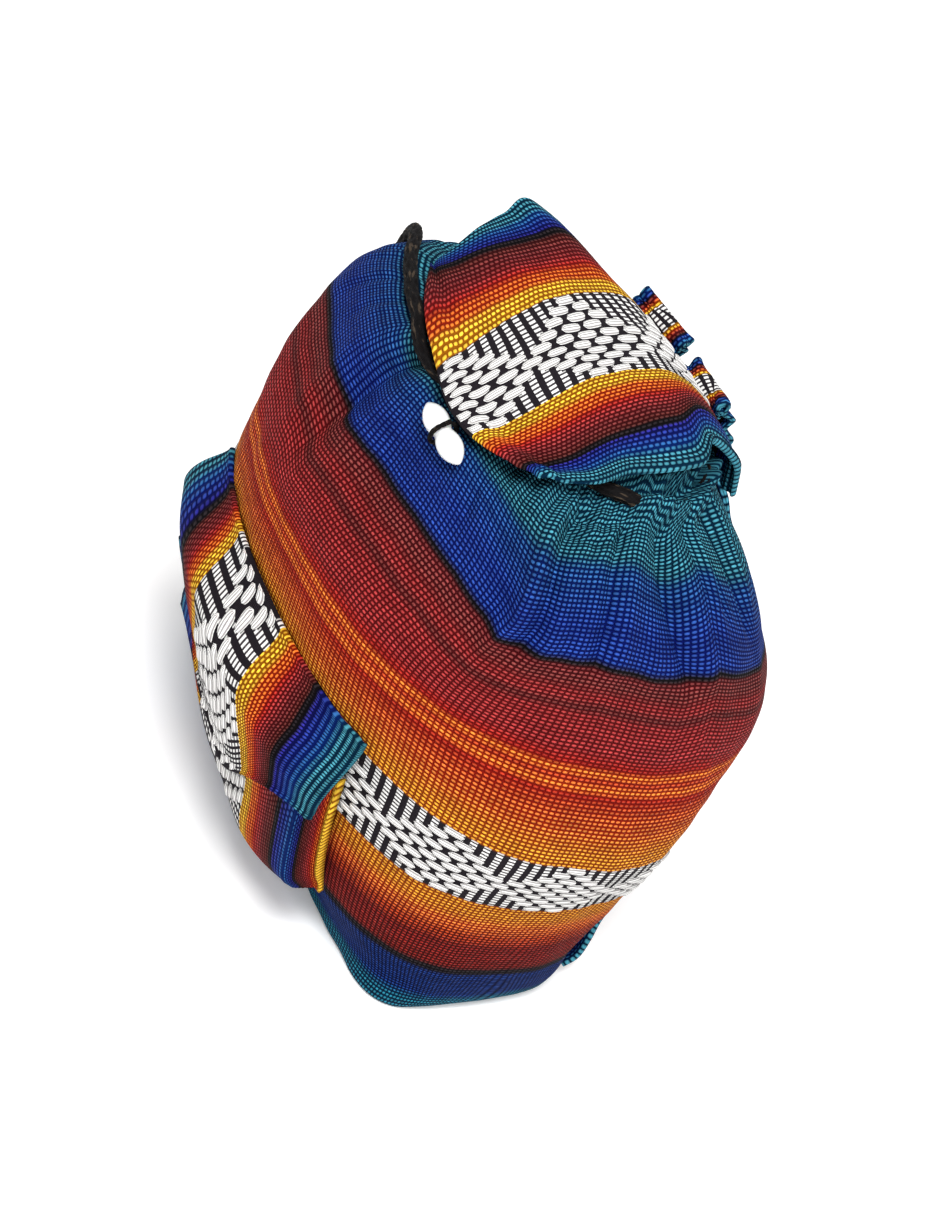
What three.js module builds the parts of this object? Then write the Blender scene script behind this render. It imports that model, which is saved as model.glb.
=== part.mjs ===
// A small striped cloth backpack, the kind called a morral: a sack with a gathered mouth,
// a flap that arches over the mouth and fastens with a toggle, a box pocket with its own
// flap on the front, two shoulder straps behind and a black drawcord.
// Units are millimetres. +Z is up, the front faces -Y, and the origin is under the middle
// of the base, on the plane that the bag stands on.
import * as THREE from 'three';

const { PI, abs, acos, atan2, cos, exp, hypot, min, max, sign, sin } = Math;

// Driving dimensions
const cloth = 1.7;              // thickness of one wall of woven cloth
const gap = 0.4;                // clearance between pieces that touch
const bag = { halfWidth: 98, halfDepth: 82, height: 200 };
const base = { thickness: 2.4 };
const flap = { width: 104, overhang: 16, rise: 12, thickness: 2 };
const pocket = { depth: 14, flapSpare: 1.6, flapThickness: 2 };
const strap = { width: 25, thickness: 2.4, cup: 1.5 };
const toggle = { length: 24, diameter: 8.8, waist: 5.8 };
const toggleLoop = { diameter: 1.6 };
const cord = { diameter: 4.8, knotLength: 13, knotDiameter: 11 };

// The flap reaches past the sack's half depth and stands above its height.
const flapReach = bag.halfDepth + flap.overhang;
const flapCrown = bag.height + flap.rise;

// Rings of the sack from base to mouth. v is the place along the cloth, the lengths are
// shares of the bag's height, half width and half depth, square is the corner exponent
// and tilt lifts the front of the ring, in degrees.
const sackRings = [
  { v: 0.00, z: 0.000, wide: 0.900, deep: 0.470, midX: 0.012, midY: 0.030, square: 4.6, tilt: 0.0 },
  { v: 0.03, z: 0.012, wide: 0.965, deep: 0.525, midX: 0.016, midY: 0.038, square: 4.2, tilt: 0.4 },
  { v: 0.07, z: 0.040, wide: 0.985, deep: 0.565, midX: 0.020, midY: 0.042, square: 3.8, tilt: 1.0 },
  { v: 0.16, z: 0.120, wide: 0.992, deep: 0.727, midX: 0.034, midY: 0.004, square: 2.9, tilt: 2.6 },
  { v: 0.38, z: 0.299, wide: 1.002, deep: 0.899, midX: 0.036, midY: -0.003, square: 2.55, tilt: 4.0 },
  { v: 0.47, z: 0.426, wide: 1.061, deep: 0.968, midX: 0.000, midY: -0.016, square: 2.4, tilt: 7.4 },
  { v: 0.62, z: 0.619, wide: 0.957, deep: 1.100, midX: -0.015, midY: 0.030, square: 2.35, tilt: 6.4 },
  { v: 0.78, z: 0.787, wide: 0.956, deep: 0.868, midX: -0.054, midY: -0.029, square: 2.65, tilt: 5.9 },
  { v: 0.90, z: 0.923, wide: 0.779, deep: 0.646, midX: -0.076, midY: -0.107, square: 2.4, tilt: 6.4 },
  { v: 0.96, z: 0.958, wide: 0.575, deep: 0.465, midX: -0.035, midY: -0.080, square: 2.1, tilt: 4.0 },
  { v: 1.00, z: 0.970, wide: 0.440, deep: 0.365, midX: -0.003, midY: -0.050, square: 2.0, tilt: 2.0 },
];

// Folds and dents of the sack: each swells (or sinks, when negative) around an angle and a
// place v. angle and spread are degrees seen from above, 0 at +X and -90 at the front;
// lean turns the fold sideways as it climbs; proud is a share of the half width.
const sackFolds = [
  { angle: -38, v: 0.03, spread: 20, reach: 0.06, lean: 0, proud: 0.060 },
  { angle: -72, v: 0.05, spread: 30, reach: 0.07, lean: 0, proud: 0.026 },
  { angle: 50, v: 0.14, spread: 20, reach: 0.08, lean: 0, proud: -0.014 },
  { angle: 30, v: 0.58, spread: 42, reach: 0.15, lean: 0, proud: 0.040 },
  { angle: -130, v: 0.69, spread: 15, reach: 0.15, lean: 0, proud: 0.024 },
  { angle: -104, v: 0.85, spread: 7, reach: 0.10, lean: 0, proud: 0.030 },
  { angle: -121, v: 0.82, spread: 8, reach: 0.10, lean: 0, proud: -0.010 },
  { angle: -41, v: 0.86, spread: 6, reach: 0.11, lean: -60, proud: 0.038 },
  { angle: -53, v: 0.88, spread: 7, reach: 0.08, lean: -50, proud: -0.034 },
  { angle: -26, v: 0.88, spread: 7, reach: 0.08, lean: -20, proud: -0.026 },
  { angle: -12, v: 0.88, spread: 5, reach: 0.09, lean: 0, proud: 0.022 },
  { angle: 2, v: 0.90, spread: 6, reach: 0.09, lean: 10, proud: -0.030 },
  { angle: 16, v: 0.88, spread: 6, reach: 0.10, lean: 20, proud: 0.018 },
  { angle: 34, v: 0.90, spread: 8, reach: 0.09, lean: 20, proud: -0.024 },
  { angle: 55, v: 0.86, spread: 8, reach: 0.12, lean: 20, proud: 0.010 },
  { angle: 95, v: 0.88, spread: 10, reach: 0.10, lean: 0, proud: -0.024 },
  { angle: 130, v: 0.86, spread: 9, reach: 0.12, lean: 0, proud: 0.026 },
  { angle: 165, v: 0.88, spread: 9, reach: 0.10, lean: 0, proud: -0.022 },
];

// Small pleats that the drawcord draws into the neck.
const pleats = { count: 15, height: 0.012, from: 0.86 };

// Above the cord the frill stands up on the near side of the neck and flares out behind it.
// rise is a share of the bag's height, flare a share of its half width.
const frillFrom = 0.982;
const frills = [
  { angle: 28, spread: 34, rise: 0.036, flare: 0.020 },
  { angle: 66, spread: 14, rise: 0.006, flare: 0.060 },
];

// Value of one column of a table at a place v, by cubic steps that never overshoot.
function column(rows, name, v) {
  const last = rows.length - 2;
  let i = 0;
  while (i < last && v > rows[i + 1].v) i += 1;
  const slope = (k) => (rows[k + 1][name] - rows[k][name]) / (rows[k + 1].v - rows[k].v);
  const tangent = (k) => {
    if (k === 0) return slope(0);
    if (k === rows.length - 1) return slope(k - 1);
    const before = slope(k - 1);
    const after = slope(k);
    return before * after <= 0 ? 0 : (2 * before * after) / (before + after);
  };
  const span = rows[i + 1].v - rows[i].v;
  const t = min(max((v - rows[i].v) / span, 0), 1);
  const t2 = t * t;
  const t3 = t2 * t;
  return (2 * t3 - 3 * t2 + 1) * rows[i][name] + (t3 - 2 * t2 + t) * span * tangent(i)
    + (3 * t2 - 2 * t3) * rows[i + 1][name] + (t3 - t2) * span * tangent(i + 1);
}

const radians = (angle) => angle * PI / 180;
const degrees = (angle) => angle * 180 / PI;
const bump = (x) => exp(-x * x);
const smooth = (x) => {
  const t = min(max(x, 0), 1);
  return t * t * (3 - 2 * t);
};
const turnBetween = (a, b) => ((a - b + 540) % 360) - 180;

// The sack without its folds: angle in degrees, v from base to mouth.
function plainSack(angle, v) {
  const at = (name) => column(sackRings, name, v);
  const c = cos(radians(angle));
  const s = sin(radians(angle));
  const power = 2 / at('square');
  const across = bag.halfDepth * at('deep') * sign(s) * abs(s) ** power;
  const tilt = radians(at('tilt'));
  return new THREE.Vector3(
    bag.halfWidth * (at('midX') + at('wide') * sign(c) * abs(c) ** power),
    bag.halfDepth * at('midY') + across * cos(tilt),
    bag.height * at('z') - across * sin(tilt),
  );
}

// Outward direction of the plain sack.
function outward(angle, v) {
  const step = 0.012;
  const turn = 2;
  const round = plainSack(angle + turn, v).sub(plainSack(angle - turn, v));
  const low = max(v - step, 0);
  const high = min(v + step, 1);
  const up = plainSack(angle, high).sub(plainSack(angle, low));
  return round.cross(up).normalize();
}

// How far the folded cloth stands off the plain sack.
function foldHeight(angle, v) {
  let height = 0;
  for (const fold of sackFolds) {
    const side = turnBetween(angle, fold.angle + fold.lean * (v - fold.v)) / fold.spread;
    height += fold.proud * bag.halfWidth * bump(side) * bump((v - fold.v) / fold.reach);
  }
  const drawn = smooth((v - pleats.from) / (1 - pleats.from));
  return height + drawn * pleats.height * bag.halfWidth * cos(radians(angle) * pleats.count);
}

// A point on the folded sack, proud of its outer face by a distance. The foot ring stays
// level: there the distance is measured along the ground.
function onSack(angle, v, proud = 0) {
  const direction = v === 0 ? levelOut(angle) : outward(angle, v);
  const point = plainSack(angle, v).addScaledVector(direction, foldHeight(angle, v) + proud);
  const above = smooth((v - frillFrom) / (1 - frillFrom));
  for (const frill of frills) {
    const standing = above * bump(turnBetween(angle, frill.angle) / frill.spread);
    point.z += standing * frill.rise * bag.height;
    point.addScaledVector(levelOut(angle), standing * frill.flare * bag.halfWidth);
  }
  point.z = max(point.z, 0);
  return point;
}

// Level outward direction at an angle.
function levelOut(angle) {
  return new THREE.Vector3(cos(radians(angle)), sin(radians(angle)), 0);
}

// A closed solid between two grids of points, front[j][i] and back[j][i]. Rows that close
// on themselves join their last column to their first.
function solidBetween(front, back, closed = false) {
  const rows = front.length;
  const columns = front[0].length;
  const positions = [...front.flat(), ...back.flat()].flatMap((p) => [p.x, p.y, p.z]);
  const index = [];
  const a = (j, i) => j * columns + (i % columns);
  const b = (j, i) => rows * columns + a(j, i);
  const quad = (p, q, r, s) => index.push(p, q, r, p, r, s);
  const across = closed ? columns : columns - 1;
  for (let j = 0; j < rows - 1; j += 1) {
    for (let i = 0; i < across; i += 1) {
      quad(a(j, i), a(j, i + 1), a(j + 1, i + 1), a(j + 1, i));
      quad(b(j, i), b(j + 1, i), b(j + 1, i + 1), b(j, i + 1));
    }
  }
  for (let i = 0; i < across; i += 1) {
    quad(a(0, i), b(0, i), b(0, i + 1), a(0, i + 1));
    quad(a(rows - 1, i), a(rows - 1, i + 1), b(rows - 1, i + 1), b(rows - 1, i));
  }
  if (!closed) {
    for (let j = 0; j < rows - 1; j += 1) {
      quad(a(j, 0), a(j + 1, 0), b(j + 1, 0), b(j, 0));
      quad(a(j, across), b(j, across), b(j + 1, across), a(j + 1, across));
    }
  }
  const geometry = new THREE.BufferGeometry();
  geometry.setAttribute('position', new THREE.Float32BufferAttribute(positions, 3));
  geometry.setIndex(index);
  geometry.computeVertexNormals();
  return geometry;
}

const steps = (count, from, to) => (
  Array.from({ length: count + 1 }, (_, i) => from + (to - from) * (i / count))
);

// A grid of points pushed back along its own normals, to give a sheet its thickness.
function pushedBack(grid, distance) {
  const rows = grid.length;
  const columns = grid[0].length;
  return grid.map((row, j) => row.map((point, i) => {
    const along = grid[j][min(i + 1, columns - 1)].clone().sub(grid[j][max(i - 1, 0)]);
    const up = grid[min(j + 1, rows - 1)][i].clone().sub(grid[max(j - 1, 0)][i]);
    return point.clone().addScaledVector(along.cross(up).normalize(), -distance);
  }));
}

function mesh(name, geometry, color, roughness = 0.9) {
  const material = new THREE.MeshStandardMaterial({ color, roughness, metalness: 0 });
  const part = new THREE.Mesh(geometry, material);
  part.name = name;
  return part;
}

// Sack: a wall all round, open at the mouth and closed below by the base panel.
function sack() {
  const angles = steps(60, -180, 180).slice(0, -1);
  const levels = [0, 0.03, 0.07, 0.12, 0.18, 0.26, 0.34, 0.42, 0.5, 0.57, 0.64, 0.7, 0.75, 0.79, 0.83, 0.87,
    0.905, 0.935, 0.96, 0.982, 1];
  const outer = levels.map((v) => angles.map((angle) => onSack(angle, v)));
  const inner = levels.map((v) => angles.map((angle) => onSack(angle, v, -cloth)));
  return mesh('sack', solidBetween(outer, inner, true), 0xa01c28);
}

// Base panel: lies inside the foot of the sack's wall.
function basePanel() {
  const shape = new THREE.Shape(steps(60, -180, 180).slice(0, -1).map((angle) => {
    const rim = onSack(angle, 0, -cloth - gap);
    return new THREE.Vector2(rim.x, rim.y);
  }));
  const geometry = new THREE.ExtrudeGeometry(shape, { depth: base.thickness, bevelEnabled: false });
  return mesh('base_panel', geometry, 0x0f6a86);
}

// Flap rows from its seam behind the neck, over the mouth, to the free edge in front. The
// middle line gives y as a share of the reach and z as a share of the crown; near and far
// are shares of the width.
const flapRows = [
  { v: 0.00, y: 0.430, z: 0.862, near: 0.300, far: 0.560 },
  { v: 0.14, y: 0.392, z: 0.925, near: 0.320, far: 0.600 },
  { v: 0.28, y: 0.215, z: 0.985, near: 0.340, far: 0.645 },
  { v: 0.46, y: 0.020, z: 1.008, near: 0.440, far: 0.620 },
  { v: 0.64, y: -0.200, z: 1.004, near: 0.463, far: 0.580 },
  { v: 0.80, y: -0.418, z: 0.985, near: 0.471, far: 0.540 },
  { v: 1.00, y: -0.663, z: 0.955, near: 0.421, far: 0.485 },
];

// How far the flap's two side edges drop below its middle line, as shares of the crown,
// and shift behind it, as shares of the reach.
const flapEdges = [
  { v: 0.00, nearDrop: 0.004, farDrop: 0.020, nearShift: 0.02, farShift: 0.00 },
  { v: 0.14, nearDrop: 0.004, farDrop: -0.020, nearShift: -0.02, farShift: -0.15 },
  { v: 0.28, nearDrop: 0.000, farDrop: -0.046, nearShift: -0.04, farShift: -0.29 },
  { v: 0.46, nearDrop: 0.029, farDrop: 0.000, nearShift: 0.03, farShift: -0.20 },
  { v: 0.64, nearDrop: 0.035, farDrop: 0.010, nearShift: 0.00, farShift: -0.08 },
  { v: 0.80, nearDrop: 0.027, farDrop: 0.040, nearShift: 0.10, farShift: 0.02 },
  { v: 1.00, nearDrop: 0.005, farDrop: 0.017, nearShift: 0.16, farShift: 0.20 },
];

// The free edge hangs over the toggle: it swells forward by a share of the reach and drops
// by a share of the crown, most at one place side.
const hang = { side: 0.46, spread: 0.49, from: 0.62, reach: 0.042, drop: 0.026 };

// The flap's upper face: side runs from -1 at its far edge to 1 at its near edge.
function onFlap(side, v) {
  const share = side * side;
  const at = (name) => column(flapRows, name, v);
  const edge = (name) => share * column(flapEdges, (side > 0 ? 'near' : 'far') + name, v);
  const hung = bump((side - hang.side) / hang.spread) * smooth((v - hang.from) / (1 - hang.from));
  return new THREE.Vector3(
    side * at(side > 0 ? 'near' : 'far') * flap.width,
    (at('y') + edge('Shift') - hung * hang.reach) * flapReach,
    (at('z') - edge('Drop') - hung * hang.drop) * flapCrown,
  );
}

function mouthFlap() {
  const upper = steps(16, 0, 1).map((v) => steps(14, 1, -1).map((side) => onFlap(side, v)));
  return mesh('flap', solidBetween(upper, pushedBack(upper, flap.thickness)), 0xd8881c);
}

// Box pocket: its outer face stands off the sack inside these borders and is open at the
// top. The borders are an angle round the sack and a place v.
const pocketPlace = { from: -126.5, to: -59.5, bottom: 0.178, top: 0.435 };
const pocketCorner = { turn: 3.2, rise: 0.022 };

// Soft dents in the pocket's front, as shares of its depth. A negative one swells.
const pocketDents = [
  { angle: -111, v: 0.31, spread: 23, reach: 0.11, deep: 0.80 },
  { angle: -114, v: 0.19, spread: 20, reach: 0.05, deep: 0.30 },
  { angle: -127, v: 0.43, spread: 14, reach: 0.08, deep: 0.25 },
  { angle: -80, v: 0.23, spread: 9, reach: 0.06, deep: -0.08 },
  { angle: -60, v: 0.19, spread: 8, reach: 0.03, deep: 0.35 },
];

// A point over the pocket: share runs from 0 on the sack to 1 on the pocket's front face.
function overPocket(angle, v, share, lift) {
  let full = 1;
  for (const dent of pocketDents) {
    full -= dent.deep * bump((angle - dent.angle) / dent.spread) * bump((v - dent.v) / dent.reach);
  }
  return onSack(angle, v, gap + lift + share * full * pocket.depth);
}

function boxPocket() {
  const { from, to, bottom, top } = pocketPlace;
  const { turn, rise } = pocketCorner;
  const angles = [
    from, from + turn * 0.5, from + turn, ...steps(12, from + turn * 1.8, to - turn * 1.8),
    to - turn, to - turn * 0.5, to,
  ];
  const levels = [bottom, bottom + rise * 0.5, bottom + rise, ...steps(8, bottom + rise * 2, top)];
  const shareAt = (angle, v) => smooth(min((angle - from) / turn, (to - angle) / turn, (v - bottom) / rise));
  const inset = (angle, v) => [
    min(max(angle, from + turn * 0.4), to - turn * 0.4),
    max(v, bottom + rise * 0.4),
  ];
  const outer = levels.map((v) => (
    angles.map((angle) => overPocket(angle, v, shareAt(angle, v), cloth))
  ));
  const inner = levels.map((v) => (
    angles.map((angle) => overPocket(angle, v, shareAt(...inset(angle, v)), 0))
  ));
  return mesh('pocket', solidBetween(outer, inner), 0xe0a024);
}

// Pocket flap: sewn to the sack above the pocket and draped over the pocket's open top. A
// row for each place along the seam, from the far end to the near end: the place v of the
// seam and of the free edge.
const pocketFlapRows = [
  { v: 0.00, seam: 0.494, hem: 0.352 },
  { v: 0.25, seam: 0.495, hem: 0.310 },
  { v: 0.60, seam: 0.490, hem: 0.305 },
  { v: 0.76, seam: 0.490, hem: 0.385 },
  { v: 0.88, seam: 0.490, hem: 0.412 },
  { v: 1.00, seam: 0.492, hem: 0.425 },
];
const pocketFlapOverhang = 2.2;  // degrees past each side of the pocket

function onPocketFlap(across, along) {
  const from = pocketPlace.from - pocketFlapOverhang;
  const angle = from + across * (pocketPlace.to + pocketFlapOverhang - from);
  const seam = column(pocketFlapRows, 'seam', across);
  const v = seam + along * (column(pocketFlapRows, 'hem', across) - seam);
  const share = smooth((seam - v) / (seam - pocketPlace.top));
  return overPocket(angle, v, share, pocket.flapThickness + share * (cloth + gap + pocket.flapSpare));
}

function pocketFlap() {
  const upper = [0, 0.07, 0.14, 0.21, 0.28, 0.42, 0.56, 0.7, 0.85, 1].map(
    (along) => steps(16, 1, 0).map((across) => onPocketFlap(across, along)),
  );
  return mesh('pocket_flap', solidBetween(upper, pushedBack(upper, pocket.flapThickness)), 0x1a3fb0);
}

// Shoulder straps: sewn side by side under the flap's seam, they curl up and over, then
// hang down the back to the corners of the base. turn is the share of the way from the
// strap's upper angle to its lower angle, proud is a share of the strap's width.
const strapRows = [
  { v: 0.00, level: 0.866, turn: 0.00, proud: 0.08 },
  { v: 0.05, level: 0.886, turn: 0.00, proud: 0.36 },
  { v: 0.10, level: 0.899, turn: 0.00, proud: 0.60 },
  { v: 0.15, level: 0.894, turn: 0.01, proud: 0.76 },
  { v: 0.21, level: 0.865, turn: 0.03, proud: 0.66 },
  { v: 0.30, level: 0.795, turn: 0.08, proud: 0.28 },
  { v: 0.42, level: 0.680, turn: 0.20, proud: 0.15 },
  { v: 0.58, level: 0.500, turn: 0.45, proud: 0.14 },
  { v: 0.74, level: 0.320, turn: 0.68, proud: 0.22 },
  { v: 0.86, level: 0.180, turn: 0.92, proud: 0.24 },
  { v: 0.95, level: 0.095, turn: 0.99, proud: 0.18 },
  { v: 1.00, level: 0.052, turn: 1.00, proud: 0.09 },
];
const strapAngles = { near: { top: 93, foot: 52 }, far: { top: 113, foot: 134 } };

function shoulderStrap(name, { top, foot }) {
  const place = (v) => {
    const angle = top + (foot - top) * column(strapRows, 'turn', v);
    const proud = column(strapRows, 'proud', v) * strap.width;
    return { angle, level: column(strapRows, 'level', v), proud };
  };
  const middle = (v) => {
    const { angle, level, proud } = place(min(max(v, 0), 1));
    return onSack(angle, level, proud);
  };
  const rows = steps(34, 0, 1).map((v) => {
    const { angle, level } = place(v);
    const along = middle(v + 0.01).sub(middle(v - 0.01)).normalize();
    const round = plainSack(angle - 2, level).sub(plainSack(angle + 2, level));
    round.addScaledVector(along, -round.dot(along)).normalize();
    const face = round.clone().cross(along).normalize();
    return { point: middle(v), round, face };
  });
  const layer = (lift) => rows.map(({ point, round, face }) => steps(4, -1, 1).map((side) => (
    point.clone()
      .addScaledVector(round, side * strap.width / 2)
      .addScaledVector(face, lift - side * side * strap.cup)
  )));
  return mesh(name, solidBetween(layer(strap.thickness / 2), layer(-strap.thickness / 2)), 0x1f6f9a);
}

// A round tube along a list of points.
function tube(points, diameter, sides, count) {
  const section = new THREE.Shape(steps(sides, 0, 2 * PI).slice(0, -1).map(
    (turn) => new THREE.Vector2(diameter / 2 * cos(turn), diameter / 2 * sin(turn)),
  ));
  const path = new THREE.CatmullRomCurve3(points, false, 'centripetal');
  return new THREE.ExtrudeGeometry(section, { steps: count, extrudePath: path });
}

// Toggle: a white spindle with a waist, lying across the shoulder in front of the flap.
const toggleSeat = { angle: -76.8, v: 0.878, turn: -6 };  // turn in degrees, seen from above
const toggleProfile = [
  { v: 0.00, radius: 0.00 }, { v: 0.05, radius: 0.42 }, { v: 0.14, radius: 0.76 }, { v: 0.27, radius: 1.00 },
  { v: 0.38, radius: 0.96 }, { v: 0.45, radius: 0.80 },
];

const loopAt = 0.42;  // place side on the flap's free edge where the loop leaves it

function toggleFrame() {
  const { angle, v, turn } = toggleSeat;
  const up = outward(angle, v);
  const axis = onSack(angle + 3, v).sub(onSack(angle - 3, v));
  axis.addScaledVector(up, -axis.dot(up)).normalize().applyAxisAngle(up, radians(turn));
  const middle = onSack(angle, v, toggle.waist / 2 + toggleLoop.diameter + 2 * gap);
  return { middle, up, axis };
}

function toggleBead() {
  const half = toggleProfile.map(({ v, radius }) => (
    new THREE.Vector2(radius * toggle.diameter / 2, (v - 0.5) * toggle.length)
  ));
  const waist = new THREE.Vector2(toggle.waist / 2, 0);
  const other = half.map(({ x, y }) => new THREE.Vector2(x, -y)).reverse();
  const bead = mesh('toggle', new THREE.LatheGeometry([...half, waist, ...other], 16), 0xf2f2f0, 0.35);
  const { middle, axis } = toggleFrame();
  bead.position.copy(middle);
  bead.quaternion.setFromUnitVectors(new THREE.Vector3(0, 1, 0), axis);
  return bead;
}

// Toggle loop: leaves the flap's free edge, passes round the toggle's waist and returns. Its
// two ends lie one over the other, and each runs straight to where it touches the waist.
function loop() {
  const { middle, up, axis } = toggleFrame();
  const toFlap = up.clone().cross(axis).normalize();
  const edge = onFlap(loopAt, 1).addScaledVector(new THREE.Vector3(0, 0, 1), -flap.thickness / 2);
  const back = edge.clone().sub(middle);
  const radius = toggle.waist / 2 + toggleLoop.diameter / 2 + 1.6 * gap;
  const reach = max(back.dot(toFlap) - toggleLoop.diameter / 2 - gap, radius);
  const place = (out, height) => middle.clone().addScaledVector(toFlap, out).addScaledVector(up, height);
  const heightOf = (side) => back.dot(up) + side * (toggleLoop.diameter / 2 + gap / 2);
  const touch = (side) => degrees(
    atan2(heightOf(side), reach) + side * acos(radius / hypot(reach, heightOf(side))),
  );
  const round = steps(12, touch(1), 360 + touch(-1)).map((turn) => (
    place(radius * cos(radians(turn)), radius * sin(radians(turn)))
  ));
  const points = [place(reach, heightOf(1)), ...round, place(reach, heightOf(-1))];
  return mesh('toggle_loop', tube(points, toggleLoop.diameter, 8, 26), 0x141416);
}

// Drawcord round the neck, from one side of its knot to the other.
const cordRing = { v: 0.966, from: -100, turn: 336 };

function neckCord() {
  const lift = cord.diameter / 2 + 3 * gap;
  const points = steps(36, cordRing.from, cordRing.from - cordRing.turn).map((angle) => {
    const wrapped = ((angle + 540) % 360) - 180;
    return onSack(wrapped, cordRing.v, lift);
  });
  return mesh('drawcord_ring', tube(points, cord.diameter, 8, 54), 0x17171a);
}

// Free end of the drawcord: from its knot in front of the neck over the far shoulder and
// down the far side. Hand-placed points.
const cordRoute = [
  [8, -52, 198.2], [5, -57, 196.8], [-1, -61, 195.2], [-8, -62.6, 194.7], [-17, -62.6, 195.2],
  [-27, -59.6, 196.8], [-34, -57.4, 196.6], [-41.5, -54.9, 195.6], [-49, -51.4, 195],
  [-57, -47.5, 193.8], [-67, -41.9, 192.9], [-76.5, -35.2, 191], [-84.8, -29.9, 187.8],
  [-91.6, -25, 183], [-97.2, -21.4, 176.6], [-101.5, -18.5, 168], [-104.6, -16.4, 158],
  [-106.6, -15, 148], [-108, -14, 138],
];

function freeCord() {
  const points = cordRoute.map(([x, y, z]) => new THREE.Vector3(x, y, z));
  return mesh('drawcord_tail', tube(points, cord.diameter, 8, 20), 0x17171a);
}

function knot(name, center, axis) {
  const profile = [[0, -0.5], [0.32, -0.42], [0.5, -0.15], [0.5, 0.15], [0.32, 0.42], [0, 0.5]]
    .map(([r, y]) => new THREE.Vector2(r * cord.knotDiameter, y * cord.knotLength));
  const bead = mesh(name, new THREE.LatheGeometry(profile, 10), 0x17171a);
  bead.position.copy(center);
  bead.quaternion.setFromUnitVectors(new THREE.Vector3(0, 1, 0), axis);
  return bead;
}

function endKnot() {
  const [before, last] = cordRoute.slice(-2).map(([x, y, z]) => new THREE.Vector3(x, y, z));
  const axis = last.clone().sub(before).normalize();
  return knot('cord_end_knot', last.clone().addScaledVector(axis, cord.knotLength / 2 + gap), axis);
}

export default new THREE.Group().add(
  sack(), basePanel(), mouthFlap(), boxPocket(), pocketFlap(),
  shoulderStrap('strap_near', strapAngles.near), shoulderStrap('strap_far', strapAngles.far),
  toggleBead(), loop(), neckCord(), freeCord(), endKnot(),
);
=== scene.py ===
"""A small striped cloth backpack with a gathered mouth, an arched flap with a toggle, a box
pocket, two shoulder straps and a black drawcord. Metres, +Z up, the front faces -Y."""
import math

import bpy
import numpy as np
from mathutils import Matrix


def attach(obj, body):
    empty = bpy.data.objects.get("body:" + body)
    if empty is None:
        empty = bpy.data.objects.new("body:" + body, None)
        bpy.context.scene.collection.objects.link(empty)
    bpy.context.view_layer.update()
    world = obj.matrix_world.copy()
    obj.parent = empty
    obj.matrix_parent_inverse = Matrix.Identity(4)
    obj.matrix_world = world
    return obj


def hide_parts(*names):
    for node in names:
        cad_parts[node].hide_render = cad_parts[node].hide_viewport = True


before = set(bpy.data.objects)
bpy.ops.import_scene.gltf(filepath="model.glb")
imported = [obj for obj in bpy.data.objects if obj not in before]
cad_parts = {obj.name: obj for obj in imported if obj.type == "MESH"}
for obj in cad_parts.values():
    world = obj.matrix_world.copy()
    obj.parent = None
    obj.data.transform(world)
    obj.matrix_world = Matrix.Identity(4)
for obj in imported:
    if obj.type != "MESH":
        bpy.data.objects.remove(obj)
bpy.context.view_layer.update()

# Camera
PHOTO_WIDTH, PHOTO_HEIGHT = 940, 1215
TURN, RISE, ROLL = 44.205, 36.335, 31.544  # the camera's place round the bag, in degrees
DISTANCE = 0.8
FOCAL_PIXELS = DISTANCE / 0.00034
AIM = (0.0, 0.0, 0.1)  # this point falls on AIM_PIXEL
AIM_PIXEL = (478.56, 599.20)


def place_object(name, data, place, axes):
    """A camera or a light at a place, turned to its own three axes."""
    made = bpy.data.objects.new(name, data)
    made.matrix_world = Matrix.Translation(place) @ Matrix(np.stack(axes, 1).tolist()).to_4x4()
    bpy.context.scene.collection.objects.link(made)
    return made


def make_camera():
    turn, rise, roll = (math.radians(x) for x in (TURN, RISE, ROLL))
    back = np.array([math.sin(turn) * math.cos(rise), -math.cos(turn) * math.cos(rise), math.sin(rise)])
    right = np.cross(-back, [0, 0, 1])
    right /= np.linalg.norm(right)
    up = np.cross(right, -back)
    c, s = math.cos(roll), math.sin(roll)
    axes = [c * right + s * up, -s * right + c * up, back]
    data = bpy.data.cameras.new("camera")
    data.sensor_width = 36
    data.lens = FOCAL_PIXELS / PHOTO_HEIGHT * data.sensor_width
    data.shift_x = (PHOTO_WIDTH / 2 - AIM_PIXEL[0]) / PHOTO_HEIGHT
    data.shift_y = (AIM_PIXEL[1] - PHOTO_HEIGHT / 2) / PHOTO_HEIGHT
    data.clip_start, data.clip_end = 0.01, 20
    bpy.context.scene.camera = place_object("camera", data, np.array(AIM) + back * DISTANCE, axes)


make_camera()

# Helpers


def column(rows, k, v):
    """Column k of a table at places v, by cubic steps that never overshoot."""
    v = np.asarray(v, float)
    x, y = rows[:, 0], rows[:, k]
    slope = np.diff(y) / np.diff(x)
    before, after = slope[:-1], slope[1:]
    same = before * after > 0
    inner = np.where(same, 2 * before * after / np.where(same, before + after, 1), 0)
    tangent = np.concatenate([slope[:1], inner, slope[-1:]])
    i = np.clip(np.searchsorted(x, v, side="left") - 1, 0, len(x) - 2)
    span = x[i + 1] - x[i]
    t = np.clip((v - x[i]) / span, 0, 1)
    t2, t3 = t * t, t * t * t
    return ((2 * t3 - 3 * t2 + 1) * y[i] + (t3 - 2 * t2 + t) * span * tangent[i]
            + (3 * t2 - 2 * t3) * y[i + 1] + (t3 - t2) * span * tangent[i + 1])


def bump(x):
    return np.exp(-np.square(x))


def smooth(x):
    t = np.clip(x, 0, 1)
    return t * t * (3 - 2 * t)


def turn_between(a, b):
    return np.mod(a - b + 180, 360) - 180


def unit(p):
    return p / np.linalg.norm(p, axis=-1, keepdims=True)


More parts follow.
